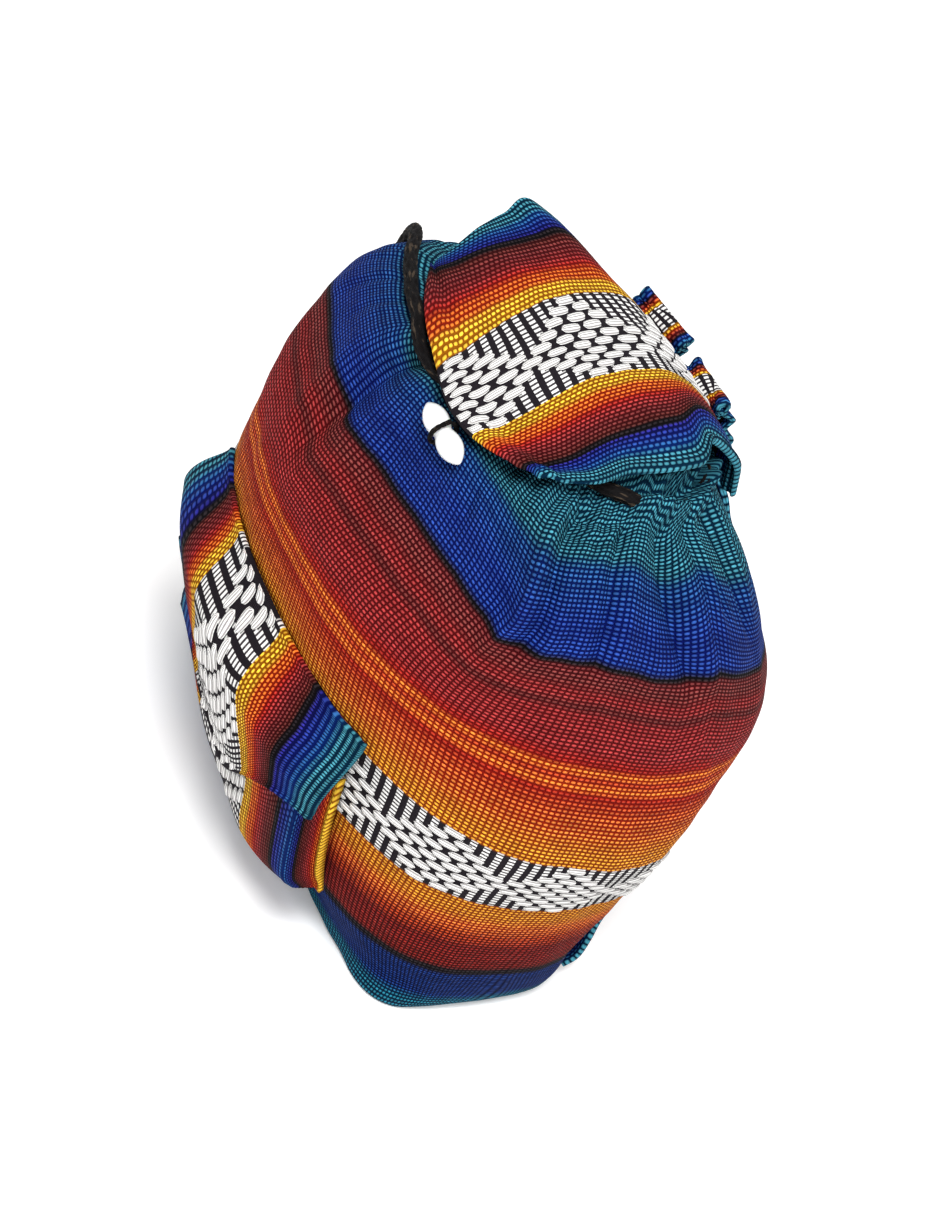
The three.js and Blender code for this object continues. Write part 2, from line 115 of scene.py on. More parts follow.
def both(a, b):
    return np.broadcast_arrays(np.asarray(a, float), np.asarray(b, float))


def lengths(points):
    """Distance of each point from the first, along the line through them."""
    return np.concatenate([[0], np.cumsum(np.linalg.norm(np.diff(points, axis=0), axis=1))])


# The bag's forms
HALF_WIDTH, HALF_DEPTH, HEIGHT = 0.098, 0.082, 0.200
CLOTH, GAP = 0.0017, 0.0004

# v, z, wide, deep, mid_x, mid_y, square, tilt
SACK_RINGS = np.array([
    (0, 0, 0.9, 0.47, 0.012, 0.03, 4.6, 0),
    (0.03, 0.012, 0.965, 0.525, 0.016, 0.038, 4.2, 0.4),
    (0.07, 0.04, 0.985, 0.565, 0.02, 0.042, 3.8, 1),
    (0.16, 0.12, 0.992, 0.727, 0.034, 0.004, 2.9, 2.6),
    (0.38, 0.299, 1.002, 0.899, 0.036, -0.003, 2.55, 4),
    (0.47, 0.426, 1.061, 0.968, 0, -0.016, 2.4, 7.4),
    (0.62, 0.619, 0.957, 1.1, -0.015, 0.03, 2.35, 6.4),
    (0.78, 0.787, 0.956, 0.868, -0.054, -0.029, 2.65, 5.9),
    (0.9, 0.923, 0.779, 0.646, -0.076, -0.107, 2.4, 6.4),
    (0.96, 0.958, 0.575, 0.465, -0.035, -0.08, 2.1, 4),
    (1, 0.97, 0.44, 0.365, -0.003, -0.05, 2, 2),
])
# angle, v, spread, reach, lean, proud
SACK_FOLDS = [
    (-38, 0.03, 20, 0.06, 0, 0.06), (-72, 0.05, 30, 0.07, 0, 0.026), (50, 0.14, 20, 0.08, 0, -0.014),
    (30, 0.58, 42, 0.15, 0, 0.04), (-130, 0.69, 15, 0.15, 0, 0.024), (-104, 0.85, 7, 0.1, 0, 0.03),
    (-121, 0.82, 8, 0.1, 0, -0.01), (-41, 0.86, 6, 0.11, -60, 0.038), (-53, 0.88, 7, 0.08, -50, -0.034),
    (-26, 0.88, 7, 0.08, -20, -0.026), (-12, 0.88, 5, 0.09, 0, 0.022), (2, 0.9, 6, 0.09, 10, -0.03),
    (16, 0.88, 6, 0.1, 20, 0.018), (34, 0.9, 8, 0.09, 20, -0.024), (55, 0.86, 8, 0.12, 20, 0.01),
    (95, 0.88, 10, 0.1, 0, -0.024), (130, 0.86, 9, 0.12, 0, 0.026), (165, 0.88, 9, 0.1, 0, -0.022),
]
PLEATS = {"count": 15, "height": 0.012, "from": 0.86}
FRILL_FROM = 0.982
# angle, spread, rise, flare
FRILLS = [(28, 34, 0.036, 0.020), (66, 14, 0.006, 0.060)]


def level_out(angle):
    a = np.radians(angle)
    return np.stack([np.cos(a), np.sin(a), np.zeros_like(a)], -1)


def plain_sack(angle, v):
    angle, v = both(angle, v)
    z, wide, deep, mid_x, mid_y, square, tilt = (column(SACK_RINGS, k, v) for k in range(1, 8))
    c, s = np.cos(np.radians(angle)), np.sin(np.radians(angle))
    across = HALF_DEPTH * deep * np.sign(s) * np.abs(s) ** (2 / square)
    tilt = np.radians(tilt)
    return np.stack([
        HALF_WIDTH * (mid_x + wide * np.sign(c) * np.abs(c) ** (2 / square)),
        HALF_DEPTH * mid_y + across * np.cos(tilt),
        HEIGHT * z - across * np.sin(tilt),
    ], -1)


def outward(angle, v):
    around = plain_sack(angle + 2, v) - plain_sack(angle - 2, v)
    up = plain_sack(angle, np.minimum(v + 0.012, 1)) - plain_sack(angle, np.maximum(v - 0.012, 0))
    return unit(np.cross(around, up))


def fold_height(angle, v):
    height = 0
    for at, level, spread, reach, lean, proud in SACK_FOLDS:
        side = turn_between(angle, at + lean * (v - level)) / spread
        height = height + proud * HALF_WIDTH * bump(side) * bump((v - level) / reach)
    drawn = smooth((v - PLEATS["from"]) / (1 - PLEATS["from"]))
    return height + drawn * PLEATS["height"] * HALF_WIDTH * np.cos(np.radians(angle) * PLEATS["count"])


def on_sack(angle, v, proud=0.0):
    """Points on the folded sack, proud of its outer face."""
    angle, v = both(angle, v)
    direction = np.where((v <= 0)[..., None], level_out(angle), outward(angle, v))
    point = plain_sack(angle, v) + direction * (fold_height(angle, v) + proud)[..., None]
    above = smooth((v - FRILL_FROM) / (1 - FRILL_FROM))
    for at, spread, rise, flare in FRILLS:
        standing = above * bump(turn_between(angle, at) / spread)
        point[..., 2] += standing * rise * HEIGHT
        point = point + level_out(angle) * (standing * flare * HALF_WIDTH)[..., None]
    point[..., 2] = np.maximum(point[..., 2], 0)
    return point


FLAP = {"width": 0.104, "reach": 0.098, "crown": 0.212, "thickness": 0.002}
# v, y, z, near, far, near drop, far drop, near shift, far shift
FLAP_ROWS = np.array([
    (0, 0.43, 0.862, 0.3, 0.56, 0.004, 0.02, 0.02, 0),
    (0.14, 0.392, 0.925, 0.32, 0.6, 0.004, -0.02, -0.02, -0.15),
    (0.28, 0.215, 0.985, 0.34, 0.645, 0, -0.046, -0.04, -0.29),
    (0.46, 0.02, 1.008, 0.44, 0.62, 0.029, 0, 0.03, -0.2),
    (0.64, -0.2, 1.004, 0.463, 0.58, 0.035, 0.01, 0, -0.08),
    (0.8, -0.418, 0.985, 0.471, 0.54, 0.027, 0.04, 0.1, 0.02),
    (1, -0.663, 0.955, 0.421, 0.485, 0.005, 0.017, 0.16, 0.2),
])
HANG = {"side": 0.46, "spread": 0.49, "from": 0.62, "reach": 0.042, "drop": 0.026}


def on_flap(side, v):
    """The flap's upper face: side from -1 at its far edge to 1 at its near edge."""
    side, v = both(side, v)
    y, z, near, far, near_drop, far_drop, near_shift, far_shift = (
        column(FLAP_ROWS, k, v) for k in range(1, 9))
    share = side * side
    hung = bump((side - HANG["side"]) / HANG["spread"]) * smooth((v - HANG["from"]) / (1 - HANG["from"]))
    return np.stack([
        side * np.where(side > 0, near, far) * FLAP["width"],
        (y + share * np.where(side > 0, near_shift, far_shift) - hung * HANG["reach"]) * FLAP["reach"],
        (z - share * np.where(side > 0, near_drop, far_drop) - hung * HANG["drop"]) * FLAP["crown"],
    ], -1)


POCKET = {"from": -126.5, "to": -59.5, "bottom": 0.178, "top": 0.435, "turn": 3.2, "rise": 0.022,
          "depth": 0.014, "flap_spare": 0.0016, "flap_thickness": 0.002, "overhang": 2.2}
POCKET_DENTS = [
    (-111, 0.31, 23, 0.11, 0.8), (-114, 0.19, 20, 0.05, 0.3), (-127, 0.43, 14, 0.08, 0.25),
    (-80, 0.23, 9, 0.06, -0.08), (-60, 0.19, 8, 0.03, 0.35),
]
POCKET_FLAP_ROWS = np.array([
    (0, 0.494, 0.352), (0.25, 0.495, 0.31), (0.6, 0.49, 0.305), (0.76, 0.49, 0.385), (0.88, 0.49, 0.412),
    (1, 0.492, 0.425),
])


def over_pocket(angle, v, share, lift):
    full = 1.0
    for at, level, spread, reach, deep in POCKET_DENTS:
        full = full - deep * bump((angle - at) / spread) * bump((v - level) / reach)
    return on_sack(angle, v, GAP + lift + share * full * POCKET["depth"])


def pocket_share(angle, v):
    sides = np.minimum(angle - POCKET["from"], POCKET["to"] - angle) / POCKET["turn"]
    return smooth(np.minimum(sides, (v - POCKET["bottom"]) / POCKET["rise"]))


def pocket_flap_angle(across):
    start = POCKET["from"] - POCKET["overhang"]
    return start + across * (POCKET["to"] + POCKET["overhang"] - start)


def on_pocket_flap(across, along, lift=0.0):
    across, along = both(across, along)
    seam = column(POCKET_FLAP_ROWS, 1, across)
    v = seam + along * (column(POCKET_FLAP_ROWS, 2, across) - seam)
    share = smooth((seam - v) / (seam - POCKET["top"]))
    spare = CLOTH + GAP + POCKET["flap_spare"]
    return over_pocket(pocket_flap_angle(across), v, share, POCKET["flap_thickness"] + share * spare + lift)


STRAP = {"width": 0.025, "thickness": 0.0024, "cup": 0.0015}
# v, level, turn, proud
STRAP_ROWS = np.array([
    (0, 0.866, 0, 0.08), (0.05, 0.886, 0, 0.36), (0.1, 0.899, 0, 0.6), (0.15, 0.894, 0.01, 0.76),
    (0.21, 0.865, 0.03, 0.66), (0.3, 0.795, 0.08, 0.28), (0.42, 0.68, 0.2, 0.15), (0.58, 0.5, 0.45, 0.14),
    (0.74, 0.32, 0.68, 0.22), (0.86, 0.18, 0.92, 0.24), (0.95, 0.095, 0.99, 0.18), (1, 0.052, 1, 0.09),
])
STRAP_ANGLES = {"strap_near": (93, 52), "strap_far": (113, 134)}


def strap_place(name, v):
    top, foot = STRAP_ANGLES[name]
    return top + (foot - top) * column(STRAP_ROWS, 2, v), column(STRAP_ROWS, 1, v)


def strap_middle(name, v):
    v = np.clip(v, 0, 1)
    return on_sack(*strap_place(name, v), column(STRAP_ROWS, 3, v) * STRAP["width"])


def on_strap(name, side, v):
    """Middle layer of a strap: side from -1 to 1 across it, v down it."""
    side, v = both(side, v)
    angle, level = strap_place(name, v)
    along = unit(strap_middle(name, v + 0.01) - strap_middle(name, v - 0.01))
    around = plain_sack(angle - 2, level) - plain_sack(angle + 2, level)
    around = unit(around - along * (around * along).sum(-1, keepdims=True))
    face = unit(np.cross(around, along))
    return (strap_middle(name, v) + around * (side * STRAP["width"] / 2)[..., None]
            - face * (side * side * STRAP["cup"])[..., None])


# Mesh making
PIECES = {}


def make_mesh(name, points, quads, uv=None, stripe=None, triangles=()):
    """A smooth mesh. uv holds the cloth's thread coordinates and stripe its place across the stripes."""
    quads, triangles = np.asarray(quads, np.int32), np.array(triangles, np.int32).reshape(-1, 3)
    corners = np.concatenate([quads.ravel(), triangles.ravel()])
    starts = np.concatenate([np.arange(len(quads)) * 4, quads.size + np.arange(len(triangles)) * 3])
    data = bpy.data.meshes.new(name)
    data.vertices.add(len(points))
    data.vertices.foreach_set("co", np.asarray(points, np.float32).ravel())
    data.loops.add(len(corners))
    data.loops.foreach_set("vertex_index", corners)
    data.polygons.add(len(starts))
    data.polygons.foreach_set("loop_start", starts.astype(np.int32))
    data.polygons.foreach_set("use_smooth", np.ones(len(starts), bool))
    if uv is not None:
        layer = data.uv_layers.new(name="threads")
        layer.data.foreach_set("uv", np.asarray(uv, np.float32)[corners].ravel())
    if stripe is not None:
        attribute = data.attributes.new("stripe", "FLOAT", "POINT")
        attribute.data.foreach_set("value", np.asarray(stripe, np.float32))
    data.update(calc_edges=True)
    data.validate()
    piece = bpy.data.objects.new(name, data)
    bpy.context.scene.collection.objects.link(piece)
    PIECES[name] = piece
    return piece


def grid_quads(rows, columns, closed=False, start=0, flip=False):
    wide = columns if closed else columns - 1
    j, i = np.meshgrid(np.arange(rows - 1), np.arange(wide), indexing="ij")
    k = (i + 1) % columns
    here, above = j * columns, (j + 1) * columns
    quads = start + np.stack([here + i, here + k, above + k, above + i], -1).reshape(-1, 4)
    return quads[:, ::-1] if flip else quads


def grid_mesh(name, points, uv, stripe, closed=False, flip=False):
    """A mesh over a grid of points, whose uv and stripe belong to the same grid."""
    rows, columns = points.shape[:2]
    return make_mesh(name, points.reshape(-1, 3), grid_quads(rows, columns, closed=closed, flip=flip),
                     uv.reshape(-1, 2), np.broadcast_to(stripe, (rows, columns)).ravel())


def closed_sheet(name, front, back, uv, stripe):
    """A closed sheet between two grids of points that meet in rounded rims."""
    rows, columns = front.shape[:2]
    n = rows * columns
    a = np.arange(n).reshape(rows, columns)
    rim = np.concatenate([a[0, :-1], a[:-1, -1], a[-1, :0:-1], a[:0:-1, 0]])
    next_rim = np.roll(rim, -1)
    quads = np.concatenate([
        grid_quads(rows, columns),
        grid_quads(rows, columns, start=n, flip=True),
        np.stack([rim, rim + n, next_rim + n, next_rim], -1),
    ])
    points = np.concatenate([front.reshape(-1, 3), back.reshape(-1, 3)])
    uv = np.concatenate([uv.reshape(-1, 2)] * 2)
    return make_mesh(name, points, quads, uv, np.concatenate([stripe.ravel()] * 2))


def rounded(count, rim, turns=4):
    """Places from -1 to 1 with extra ones in both rims, and the sheet's share of thickness there."""
    turn = np.linspace(0, np.pi / 2, turns + 1)[:-1]
    place = np.concatenate([-1 + rim * (1 - np.cos(turn)), np.linspace(-1 + rim, 1 - rim, count),
                            (1 - rim * (1 - np.cos(turn)))[::-1]])
    thick = np.concatenate([np.sin(turn), np.ones(count), np.sin(turn)[::-1]])
    return place, thick


def normals_of(surface, p, q, step=0.004):
    """Unit normals of a surface of two coordinates."""
    along = surface(p + step, q) - surface(p - step, q)
    up = surface(p, q + step) - surface(p, q - step)
    return unit(np.cross(along, up))


def unevenness(points, seed, scale):
    """Soft, repeatable waves over the cloth, from -1 to 1, about scale metres long."""
    rng = np.random.default_rng(seed)
    total = 0
    for _ in range(7):
        direction = unit(rng.normal(size=3)) * (2 * np.pi / scale) * rng.uniform(0.6, 1.5)
        total = total + np.sin(points @ direction + rng.uniform(0, 6.3))
    return total / 4


# Stripes

# A chart cell is one bar of the black and white band long and one row of floats wide.
BAR_PITCH, ROW_PITCH = 0.0049, 0.0034  # on the flaps and the straps
SACK_ROW_PITCH = 0.0025
# Pitches of the weave's dots in chart cells, along and across the stripes, and each row's shift.
SACK_DOTS, WIDE_DOTS = (0.46, 0.56, 0.07), (0.44, 0.43, 0.5)
BAND_ROWS, MOTIF = 10, 10
UPPER_BARS = [0, 1, 2, 3, 4, 5, 4, 3, 2, 1]
LOWER_BARS = [1, 0, 1, 2, 3, 4, 3, 2, 1, 0]

# Colours of the threads: the dark ground and the bright dots, in sRGB.
THREADS = {
    "teal": ((0, 34, 56), (70, 146, 164)), "azure": ((0, 30, 92), (44, 104, 154)),
    "sea": ((0, 20, 78), (46, 96, 152)), "royal": ((2, 14, 86), (44, 78, 164)),
    "indigo": ((6, 8, 66), (44, 44, 150)), "black": ((9, 6, 9), (38, 32, 36)),
    "earth": ((54, 7, 9), (100, 48, 42)), "maroon": ((70, 6, 12), (136, 58, 58)),
    "crimson": ((88, 8, 12), (174, 58, 58)), "wine": ((66, 7, 12), (130, 62, 58)),
    "red": ((116, 8, 6), (192, 48, 34)), "ember": ((150, 40, 4), (255, 150, 58)),
    "orange": ((140, 28, 2), (242, 124, 46)), "gold": ((136, 56, 4), (244, 168, 52)),
    "yellow": ((146, 84, 4), (252, 204, 62)), "ochre": ((138, 28, 3), (238, 136, 58)),
    "rust": ((88, 12, 4), (196, 74, 32)), "blood": ((64, 6, 6), (148, 38, 32)),
    "navy": ((2, 8, 50), (24, 60, 136)), "deepteal": ((0, 28, 54), (38, 126, 150)),
}
# The sack's stripes from foot to mouth: place v and threads.
SACK_STRIPES = [
    (0, "deepteal"), (0.065, "deepteal"), (0.085, "navy"), (0.15, "navy"), (0.158, "black"),
    (0.17, "black"), (0.18, "blood"), (0.25, "blood"), (0.29, "rust"), (0.325, "ochre"), (0.356, "gold"),
    (0.47, "gold"), (0.474, "gold"), (0.49, "gold"), (0.522, "ochre"), (0.568, "red"), (0.576, "ember"),
    (0.588, "red"), (0.598, "ember"), (0.608, "red"), (0.632, "crimson"), (0.69, "crimson"),
    (0.705, "wine"), (0.725, "crimson"), (0.75, "wine"), (0.771, "maroon"), (0.7775, "black"),
    (0.7835, "black"), (0.789, "royal"), (0.83, "royal"), (0.884, "sea"), (0.9, "teal"),
]
BAND_ON_SACK = (0.385, 0.472)


def mirrored(half):
    """Stripes from edge to edge, from one half's places (millimetres from the middle) and threads."""
    return [(-place, threads) for place, threads in reversed(half)] + half


BAND_HALF, WIDE_HALF = 17.0, 56.0  # of the flaps' cloth, in millimetres
WIDE_STRIPES = mirrored([
    (21.5, "yellow"), (23.5, "orange"), (26, "orange"), (28.5, "red"), (31, "crimson"), (35, "maroon"),
    (39, "earth"), (40, "black"), (41.7, "black"), (42.5, "indigo"), (45, "royal"), (47.5, "azure"),
    (49.5, "teal"), (WIDE_HALF, "teal"),
])


def chart_row(w):
    """Row of the band's chart at w millimetres from the band's middle."""
    return (w + BAND_HALF) / (ROW_PITCH * 1000)


def row_stripe(row):
    """The inverse of chart_row."""
    return row * ROW_PITCH * 1000 - BAND_HALF


def wide_share(w):
    """Place from 0 to 1 across the wide cloth."""
    return (w + WIDE_HALF) / (2 * WIDE_HALF)


def linear(rgb):
    c = np.array(rgb, float) / 255
    return tuple(np.where(c <= 0.04045, c / 12.92, ((c + 0.055) / 1.055) ** 2.4)) + (1.0,)


class Nodes:
    """A short way to write a material's nodes."""

    def __init__(self, name):
        self.material = bpy.data.materials.new(name)
        self.material.use_nodes = True
        self.tree = self.material.node_tree
        self.tree.nodes.clear()
        self.shader = self.node("BsdfPrincipled")
        self.node("OutputMaterial", {0: self.shader.outputs[0]})

    def node(self, kind, sockets=None, **settings):
        """A new node with its settings, and a value or a link for each socket that is named."""
        node = self.tree.nodes.new("ShaderNode" + kind)
        for name, value in settings.items():
            setattr(node, name, value)
        self.fill(node, sockets or {})
        return node

    def fill(self, node, sockets):
        """Links or sets the node's sockets. None leaves a socket as it is."""
        for socket, value in sockets.items():
            if hasattr(value, "is_output"):
                self.tree.links.new(value, node.inputs[socket])
            elif value is not None:
                node.inputs[socket].default_value = value

    def shade(self, sockets):
        """Fills the shader's sockets and gives the finished material."""
        self.fill(self.shader, sockets)
        return self.material

    def math(self, operation, a, b=None):
        return self.node("Math", {0: a, 1: b}, operation=operation).outputs[0]

    def add(self, a, b):
        return self.math("ADD", a, b)

    def less(self, a, b):
        return self.math("SUBTRACT", a, b)

    def times(self, a, b):
        return self.math("MULTIPLY", a, b)

    def step(self, value, low, high):
        sockets = {"Value": value, "From Min": low, "From Max": high}
        return self.node("MapRange", sockets, interpolation_type="SMOOTHSTEP").outputs["Result"]

    def mix(self, share, a, b, blend="MIX"):
        return self.node("Mix", {0: share, 6: a, 7: b}, data_type="RGBA", blend_type=blend).outputs[2]

    def ramp(self, value, stops):
        node = self.node("ValToRGB", {0: value})
        elements = node.color_ramp.elements
        while len(elements) < len(stops):
            elements.new(0.5)
        for element, (place, color) in zip(elements, stops):
            element.position = place
            element.color = linear(color)
        return node.outputs[0]

    def noise(self, vector, scale, detail=2.0):
        return self.node("TexNoise", {"Scale": scale, "Detail": detail, "Vector": vector}).outputs[0]

    def chance(self, a, b):
        """A random value from 0 to 1 that belongs to the pair of numbers."""
        pair = self.node("CombineXYZ", {0: a, 1: b}).outputs[0]
        return self.node("TexWhiteNoise", {"Vector": pair}, noise_dimensions="2D").outputs["Value"]

    def bump(self, height, distance, normal=None):
        sockets = {"Strength": 1.0, "Distance": distance, "Height": height, "Normal": normal}
        return self.node("Bump", sockets).outputs[0]

    def threads(self):
        """The cloth's thread coordinates, along and across the stripes, in chart cells."""
        flat = self.node("UVMap", uv_map="threads").outputs[0]
        split = self.node("SeparateXYZ", {0: flat})
        return split.outputs[0], split.outputs[1], flat

    def hump(self, value):
        """A half wave over each whole step of the value: 0 at its ends and 1 in the middle."""
        return self.math("SINE", self.times(self.math("FRACT", value), math.pi))

    def wave(self, value, turns):
        return self.math("COSINE", self.times(value, 2 * math.pi * turns))


def striped_cloth(name, stripes, low, high, band, dots_at, floated=True):
    """Coarse plain weave in stripes, with the ground of the black and white band between two
    places. stripes go from low to high, and the band is given in the same measure."""
    n = Nodes(name)
    along, across, flat = n.threads()
    stripe = n.node("Attribute", attribute_name="stripe").outputs["Fac"]
    ground, dots = (n.ramp(stripe, [((place - low) / (high - low), THREADS[threads][k])
                                    for place, threads in stripes]) for k in (0, 1))

    # Plain weave: long weft dots stand up in shifted rows between the dark warp ribs.
    row_place = n.math("DIVIDE", across, dots_at[1])
    row = n.math("FLOOR", row_place)
    dot_place = n.add(n.math("DIVIDE", along, dots_at[0]), n.times(row, dots_at[2]))
    weave = n.times(n.math("POWER", n.hump(dot_place), 0.55), n.hump(row_place))
    dot = n.step(weave, 0.40, 0.94)
    # Rows and dots differ in brightness, and so do worn patches and the fibres.
    row_tone = n.add(0.66, n.times(n.chance(row, 0.0), 0.56))
    dot_tone = n.add(row_tone, n.times(n.chance(n.math("FLOOR", dot_place), row), 0.40))
    worn = n.times(n.noise(flat, 0.35, 3), 0.5)
    tone = n.add(0.50, n.add(worn, n.times(n.noise(flat, 5.0), 0.26)))
    color = n.mix(dot, ground, n.mix(1.0, dots, dot_tone, "MULTIPLY"))

    # Ground of the band: black bars between white columns with ribs, and black under the floats.
    upper = n.math("PINGPONG", n.math("ROUND", along), MOTIF / 2)
    lower = n.math("ABSOLUTE", n.less(upper, 1.0))
    floats = n.times(n.step(n.less(across, upper), -0.1, 0.05),
                     n.step(n.less(BAND_ROWS, n.add(across, lower)), -0.1, 0.05))
    bar = n.step(n.wave(along, 1), 0.02, 0.22)
    if floated:
        bar = n.math("MAXIMUM", bar, floats)
    rib = n.step(n.wave(across, 2), -0.75, 0.1)
    thread = n.step(n.wave(across, 8), -1.0, 1.0)
    white = n.mix(rib, linear((58, 52, 58)), linear((244, 243, 240)))
    black = n.mix(thread, linear((16, 13, 16)), linear((40, 35, 41)))
    band_height = n.times(n.less(1.0, bar), n.add(0.25, n.times(rib, 0.75)))
    bottom, top = ((place - low) / (high - low) for place in band)
    blur = 0.0015  # softness of the band's borders
    inside = n.times(n.step(stripe, bottom - blur, bottom + blur),
                     n.less(1.0, n.step(stripe, top - blur, top + blur)))
    color = n.mix(inside, color, n.mix(bar, white, black))
    height = n.add(n.times(n.less(1.0, inside), weave), n.times(inside, band_height))
    fuzz = n.noise(flat, 9.0)
    return n.shade({
        "Base Color": n.mix(1.0, color, tone, "MULTIPLY"),
        "Roughness": n.less(0.86, n.times(dot, 0.22)),
        "Normal": n.bump(fuzz, 0.00012, n.bump(height, 0.00060)),
        "Specular IOR Level": 0.06,
    })


def float_thread(name):
    """White cotton floats: three or four strands side by side, with painted shade in the grooves between
    them.
    """
    n = Nodes(name)
    _, across, flat = n.threads()
    strand = n.step(n.wave(across, 4), -1.0, 0.5)
    twist = n.noise(flat, 8.0)
    # The grey (150, 146, 146) between the white strands is painted shade in the grooves between them.
    color = n.mix(strand, linear((150, 146, 146)), linear((246, 245, 242)))
    return n.shade({
        "Base Color": n.mix(1.0, color, n.add(0.9, n.times(twist, 0.18)), "MULTIPLY"),
        "Roughness": 0.62,
        "Specular IOR Level": 0.3,
        "Normal": n.bump(n.add(strand, n.times(twist, 0.4)), 0.00018),
    })


FLOAT = {"length": 1.66, "width": 0.96, "height": 0.0009}  # length and width in chart cells


def float_mesh(name, columns, surface):
    """The lens-shaped floats of the band in a range of its columns, joined. surface takes chart
    coordinates and a lift, and gives points."""
    cells = [(c, r) for c in columns for r in range(BAND_ROWS) if has_float(c, r)]
    s = np.linspace(-1, 1, 9)
    t = np.linspace(-1, 1, 5)
    tt, ss = np.meshgrid(t, s, indexing="ij")
    outline = (1 - np.abs(ss) ** 3.6) ** 0.5
    dome = np.sqrt(np.clip(1 - tt ** 2, 0, 1)) * (1 - np.abs(ss) ** 4) ** 0.5
    rng = np.random.default_rng(7)
    column_at = np.array([c for c, _ in cells], float)[:, None, None]
    row_at = np.array([r for _, r in cells], float)[:, None, None]
    vary = rng.normal(size=(len(cells), 4))[:, :, None, None]
    u = column_at + ss * FLOAT["length"] / 2 * (1 + 0.04 * vary[:, 0]) + 0.04 * vary[:, 1]
    w = row_at + 0.5 + tt * outline * FLOAT["width"] / 2 + 0.03 * vary[:, 2]
    lift = np.broadcast_to(dome * FLOAT["height"] * (1 + 0.08 * vary[:, 3]) - 0.00008, u.shape)
    points = surface(u, w, lift).reshape(-1, 3)
    each = len(s) * len(t)
    one = grid_quads(len(t), len(s))
    quads = (one[None] + each * np.arange(len(cells))[:, None, None]).reshape(-1, 4)
    along = np.broadcast_to(ss * 1.5, u.shape) + vary[:, 0] * 9
    across = np.broadcast_to(tt * 0.5, u.shape)
    return make_mesh(name, points, quads, np.stack([along, across], -1).reshape(-1, 2))


def has_float(c, r):
    """Whether a float covers the bar of column c in row r of the band."""
    upper, lower = UPPER_BARS[c % MOTIF], LOWER_BARS[c % MOTIF]
    return (r + c) % 2 == 0 and r >= upper and r < BAND_ROWS - lower


# The sack's cloth
AROUND_COLUMNS = 130  # bars of the band once round the sack
MOTIF_AT = -49.0  # angle of a motif's longest upper bar
_turns = np.linspace(-180, 180, 1441)
_ring = plain_sack(_turns, 0.43)
_along = lengths(_ring)
_along *= AROUND_COLUMNS / _along[-1]
_along += 5 - np.interp(MOTIF_AT, _turns, _along)
_levels = np.linspace(0, 1, 501)
_side = plain_sack(-60, _levels)
_climb = lengths(_side)
_band = np.interp(BAND_ON_SACK, _levels, _climb)
_rows = np.where(_climb > _band[1], (_band[1] - _climb) / SACK_ROW_PITCH,
                 np.where(_climb < _band[0], BAND_ROWS + (_band[0] - _climb) / SACK_ROW_PITCH,
                          BAND_ROWS * (_band[1] - _climb) / (_band[1] - _band[0])))


def sack_column(angle):
    return np.interp(angle, _turns, _along)


def sack_angle(c):
    c = np.mod(np.asarray(c, float) - _along[0], AROUND_COLUMNS) + _along[0]
    return np.interp(c, _along, _turns)


def sack_row(v):
    return np.interp(v, _levels, _rows)


def sack_level(row):
    return np.interp(-np.asarray(row), -_rows, _levels)


LENS = {"angle": -27, "spread": 13}  # the gap that shows the drawcord


# How far the upper stripes stand above their level v, at angles round the sack.
STRIPE_KINKS = np.array([
    (-126, 0.022), (-102, 0.012), (-94.5, -0.012), (-88, 0), (-75, 0.006), (-60, 0), (-42.2, -0.024),
    (-31.5, -0.014), (-21, 0), (-11, 0.008), (4.2, -0.002), (12.5, 0.014), (50, -0.045), (90, 0),
    (200, 0.01),
])
# foot angle, foot v, head angle, head v, depth in metres, spread in degrees
CREASES = [
    (-99, 0.64, -94, 0.93, 0.0042, 3.2), (-93, 0.7, -88.5, 0.93, -0.0026, 2.8),
    (-45, 0.68, -37, 0.94, -0.003, 2.8), (-37, 0.72, -33, 0.94, 0.0042, 2.8),
    (-17, 0.75, -15, 0.94, 0.0036, 2.8), (5, 0.74, 1, 0.945, 0.0048, 3), (21, 0.84, 24, 0.945, 0.0026, 2.8),
    (35, 0.8, 39, 0.945, 0.0038, 3), (-66, 0.8, -62, 0.94, 0.0024, 3.5),
]
MOUTH = {"angle": -6, "spread": 26, "rise": 0.0060}  # cloth that stands up under the flap's near hem
NECK_LEVEL = 0.966  # v of the neck cord


def stripe_place(angle, v):
    """Place on the stripes' ladder, which kinks at the creases."""
    kink = np.interp(angle, STRIPE_KINKS[:, 0], STRIPE_KINKS[:, 1], period=360)
    return v - kink * smooth((v - 0.56) / 0.14)


def crease_relief(angle, v):
    """Sharp creases that run down from the neck."""
    relief = 0
    for foot, low, head, high, depth, spread in CREASES:
        t = (v - low) / (high - low)
        side = np.abs(turn_between(angle, foot + (head - foot) * np.clip(t, 0, 1))) / spread
        window = smooth(t / 0.35) * (1 - smooth((t - 0.95) / 0.12))
        relief = relief - depth * window * (np.exp(-side) - 0.4 * bump(side - 1.9))
    return relief


def above_neck(v):
    return smooth((v - 0.978) / 0.02)


